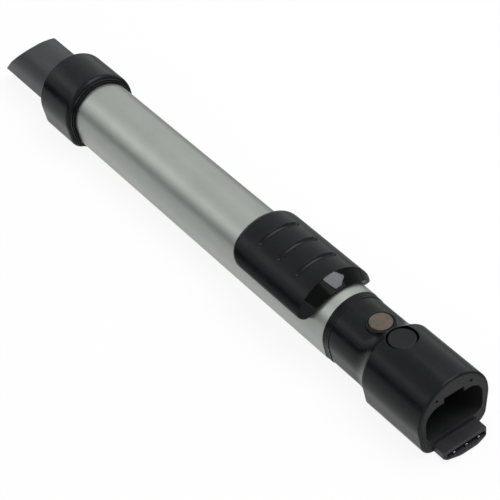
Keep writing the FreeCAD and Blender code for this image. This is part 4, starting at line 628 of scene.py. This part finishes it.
class WAND_OT_grip_front(Operator):
    """Give the grip's front its polish and the arrow its grey"""

    bl_idname = "wand.grip_front"
    bl_label = "Grip Front"

    def execute(self, context):
        settings = finish_settings(context)
        front = moulded_plastic(
            "polished_front",
            settings.front,
            FRONT_ROUGHNESS,
            settings,
            POLISHED_DEPTH,
            FRONT_GLOSS,
        )
        dress(front, FRONT_NODES)
        arrow = moulded_plastic(
            "grey_arrow", settings.arrow, ARROW_ROUGHNESS, settings, POLISHED_DEPTH
        )
        dress(arrow, ARROW_NODES)
        return {"FINISHED"}


class WAND_OT_buttons(Operator):
    """Give the release button and the switch's disc their finishes"""

    bl_idname = "wand.buttons"
    bl_label = "Buttons"

    def execute(self, context):
        settings = finish_settings(context)
        button = moulded_plastic(
            "button_moulding", settings.black_plastic, BUTTON_ROUGHNESS, settings
        )
        dress(button, BUTTON_NODES)
        disc = scratched_metal("disc_metal", settings.disc, DISC_ROUGHNESS, DISC_SCRATCHES)
        dress(disc, DISC_NODES)
        return {"FINISHED"}


class WAND_OT_small_parts(Operator):
    """Give the seals, contacts, screws and springs their finishes"""

    bl_idname = "wand.small_parts"
    bl_label = "Small Parts"

    def execute(self, context):
        settings = finish_settings(context)
        dress(seal_rubber(), SEAL_NODES)
        contact = scratched_metal(
            "contact_metal", settings.contact, CONTACT_ROUGHNESS, CONTACT_SCRATCHES
        )
        dress(contact, CONTACT_NODES)
        steel = scratched_metal("plain_steel", settings.steel, STEEL_ROUGHNESS, STEEL_SCRATCHES)
        dress(steel, STEEL_NODES)
        blackened = scratched_metal(
            "blackened_steel", settings.blackened, BLACKENED_ROUGHNESS, STEEL_SCRATCHES
        )
        dress(blackened, BLACKENED_NODES)
        return {"FINISHED"}


# Stage


def aim(thing, place, target, roll=0.0):
    """Stand a camera, a light or a card at a place, facing a target."""
    back = (Vector(place) - Vector(target)).normalized()
    right = Vector((0, 0, 1)).cross(back)
    right = right.normalized() if right.length > PARALLEL else Vector((1, 0, 0))
    up = back.cross(right)
    turned_right = right * math.cos(roll) + up * math.sin(roll)
    turned_up = up * math.cos(roll) - right * math.sin(roll)
    turn = Matrix((turned_right, turned_up, back)).transposed().to_4x4()
    thing.matrix_world = Matrix.Translation(place) @ turn


def add_object(name, data):
    thing = bpy.data.objects.new(name, data)
    bpy.context.scene.collection.objects.link(thing)
    return thing


def add_camera(stage):
    """The photograph's camera, which sees the frame as the photograph shows it."""
    data = bpy.data.cameras.new("photograph_camera")
    data.sensor_fit = "HORIZONTAL"
    data.sensor_width = SENSOR_WIDTH
    data.lens = stage.focal_pixels * SENSOR_WIDTH / FRAME_SIZE
    data.clip_end = CAMERA_REACH
    camera = add_object("photograph_camera", data)
    level = math.cos(stage.elevation)
    back = Vector(
        (
            math.sin(stage.azimuth) * level,
            -math.cos(stage.azimuth) * level,
            math.sin(stage.elevation),
        )
    )
    target = Vector(stage.target)
    aim(camera, target + back * stage.distance, target, stage.roll)
    bpy.context.scene.camera = camera


def add_soft_light(name, place, target, size, energy):
    """A rectangular light that the camera doesn't see."""
    data = bpy.data.lights.new(name, "AREA")
    data.shape = "RECTANGLE"
    data.size, data.size_y = size
    data.energy = energy
    lamp = add_object(name, data)
    aim(lamp, place, target)
    lamp.visible_camera = False


def add_rectangle(name, size, material):
    """A flat rectangle about the origin, which isn't a piece of the wand."""
    wide, high = size[0] / 2, size[1] / 2
    corners = [(-wide, -high, 0), (wide, -high, 0), (wide, high, 0), (-wide, high, 0)]
    mesh = bpy.data.meshes.new(name)
    mesh.from_pydata(corners, [], [(0, 1, 2, 3)])
    mesh.materials.append(material)
    rectangle = add_object(name, mesh)
    return rectangle


def matt(tree, tone):
    """A matt grey surface."""
    diffuse = add_node(tree, "ShaderNodeBsdfDiffuse")
    set_inputs(diffuse, Color=(tone, tone, tone, 1.0))
    return diffuse.outputs["BSDF"]


def add_card(name, place, target, size, tone):
    """A card that the camera doesn't see, which metal and plastic mirror as a darker band."""
    material = new_material(name)
    show(material.node_tree, matt(material.node_tree, tone))
    card = add_rectangle(name, size, material)
    aim(card, place, target)
    card.visible_camera = False
    card.visible_shadow = False
    card.visible_diffuse = False


def seen_white(tree):
    """One where a ray comes from the camera, a mirror or a glass, and nothing elsewhere."""
    path = add_node(tree, "ShaderNodeLightPath")
    total = path.outputs["Is Camera Ray"]
    for name in ("Is Glossy Ray", "Is Transmission Ray"):
        add = add_node(tree, "ShaderNodeMath", operation="ADD", use_clamp=True)
        join(tree, total, add.inputs[0])
        join(tree, path.outputs[name], add.inputs[1])
        total = add.outputs[0]
    return total


def mix_shaders(tree, factor, first, second):
    mix = add_node(tree, "ShaderNodeMixShader")
    for socket, source in zip(mix.inputs, (factor, first, second)):
        join(tree, source, socket)
    return mix.outputs["Shader"]


def add_floor():
    """A pale floor that the camera sees nearly white, with a faint shadow."""
    material = new_material("floor_white")
    tree = material.node_tree
    white = add_node(tree, "ShaderNodeEmission")
    set_inputs(white, Color=WHITE, Strength=1.0)
    seen = add_node(tree, "ShaderNodeMath", operation="MULTIPLY")
    join(tree, seen_white(tree), seen.inputs[0])
    seen.inputs[1].default_value = FLOOR_WHITE
    floor_matt = matt(tree, FLOOR_TONE)
    show(tree, mix_shaders(tree, seen.outputs[0], floor_matt, white.outputs["Emission"]))
    floor = add_rectangle("floor", (2 * FLOOR_REACH, 2 * FLOOR_REACH), material)
    floor.location.z = -FLOOR_DROP


def background(tree, strength):
    node = add_node(tree, "ShaderNodeBackground")
    set_inputs(node, Color=WHITE, Strength=strength)
    return node.outputs["Background"]


def light_world(strength):
    """An even light from all around, seen white by the camera and in mirrors."""
    world = bpy.data.worlds.new("studio")
    bpy.context.scene.world = world
    world.use_nodes = True
    tree = world.node_tree
    tree.nodes.clear()
    surface = mix_shaders(
        tree, seen_white(tree), background(tree, strength), background(tree, 1.0)
    )
    show(tree, surface, "ShaderNodeOutputWorld")


class WAND_OT_stage(Operator):
    """Add the floor, the soft lights and the camera"""

    bl_idname = "wand.stage"
    bl_label = "Stage"

    def execute(self, context):
        stage = context.scene.wand_stage
        add_floor()
        light_world(stage.world_strength)
        add_soft_light("key_light", KEY_PLACE, FLOOR_MIDDLE, KEY_SIZE, stage.key_energy)
        add_soft_light("strip_light", STRIP_PLACE, WAND_MIDDLE, STRIP_SIZE, stage.strip_energy)
        add_card("dark_flag", FLAG_PLACE, WAND_MIDDLE, FLAG_SIZE, FLAG_TONE)
        # Painted shade: the grey card makes the mirrored floor behind the wand darker, as if
        # shadowed, while the camera still sees the floor white
        above_shade_card = Vector(SHADE_CARD_PLACE) + Vector((0.0, 0.0, 1.0))
        add_card("floor_shade_card", SHADE_CARD_PLACE, above_shade_card, SHADE_CARD_SIZE, SHADE_CARD_TONE)
        add_camera(stage)
        context.scene.view_settings.view_transform = "Standard"
        return {"FINISHED"}


class WAND_PT_sidebar(Panel):
    """Lists the wand's operators and settings"""

    bl_idname = "WAND_PT_sidebar"
    bl_label = "Telescopic Wand"
    bl_space_type = "VIEW_3D"
    bl_region_type = "UI"
    bl_category = "Wand"

    def draw(self, context):
        layout = self.layout
        finish = finish_settings(context)
        stage = context.scene.wand_stage
        for operator in OPERATORS:
            layout.operator(operator.bl_idname)
        for group in (finish, stage):
            box = layout.box()
            for name in group.__annotations__:
                box.prop(group, name)


OPERATORS = (
    WAND_OT_outer_tube,
    WAND_OT_inner_tube,
    WAND_OT_mouldings,
    WAND_OT_liner,
    WAND_OT_grip_front,
    WAND_OT_buttons,
    WAND_OT_small_parts,
    WAND_OT_stage,
)

CLASSES = (WandFinishSettings, WandStageSettings, *OPERATORS, WAND_PT_sidebar)


def register():
    for one in CLASSES:
        bpy.utils.register_class(one)
    bpy.types.Scene.wand_finish = PointerProperty(type=WandFinishSettings)
    bpy.types.Scene.wand_stage = PointerProperty(type=WandStageSettings)


def unregister():
    del bpy.types.Scene.wand_stage
    del bpy.types.Scene.wand_finish
    for one in reversed(CLASSES):
        bpy.utils.unregister_class(one)


def main():
    register()
    bpy.ops.wand.outer_tube()
    bpy.ops.wand.inner_tube()
    bpy.ops.wand.mouldings()
    bpy.ops.wand.liner()
    bpy.ops.wand.grip_front()
    bpy.ops.wand.buttons()
    bpy.ops.wand.small_parts()
    bpy.ops.wand.stage()


if __name__ == "__main__":
    main()
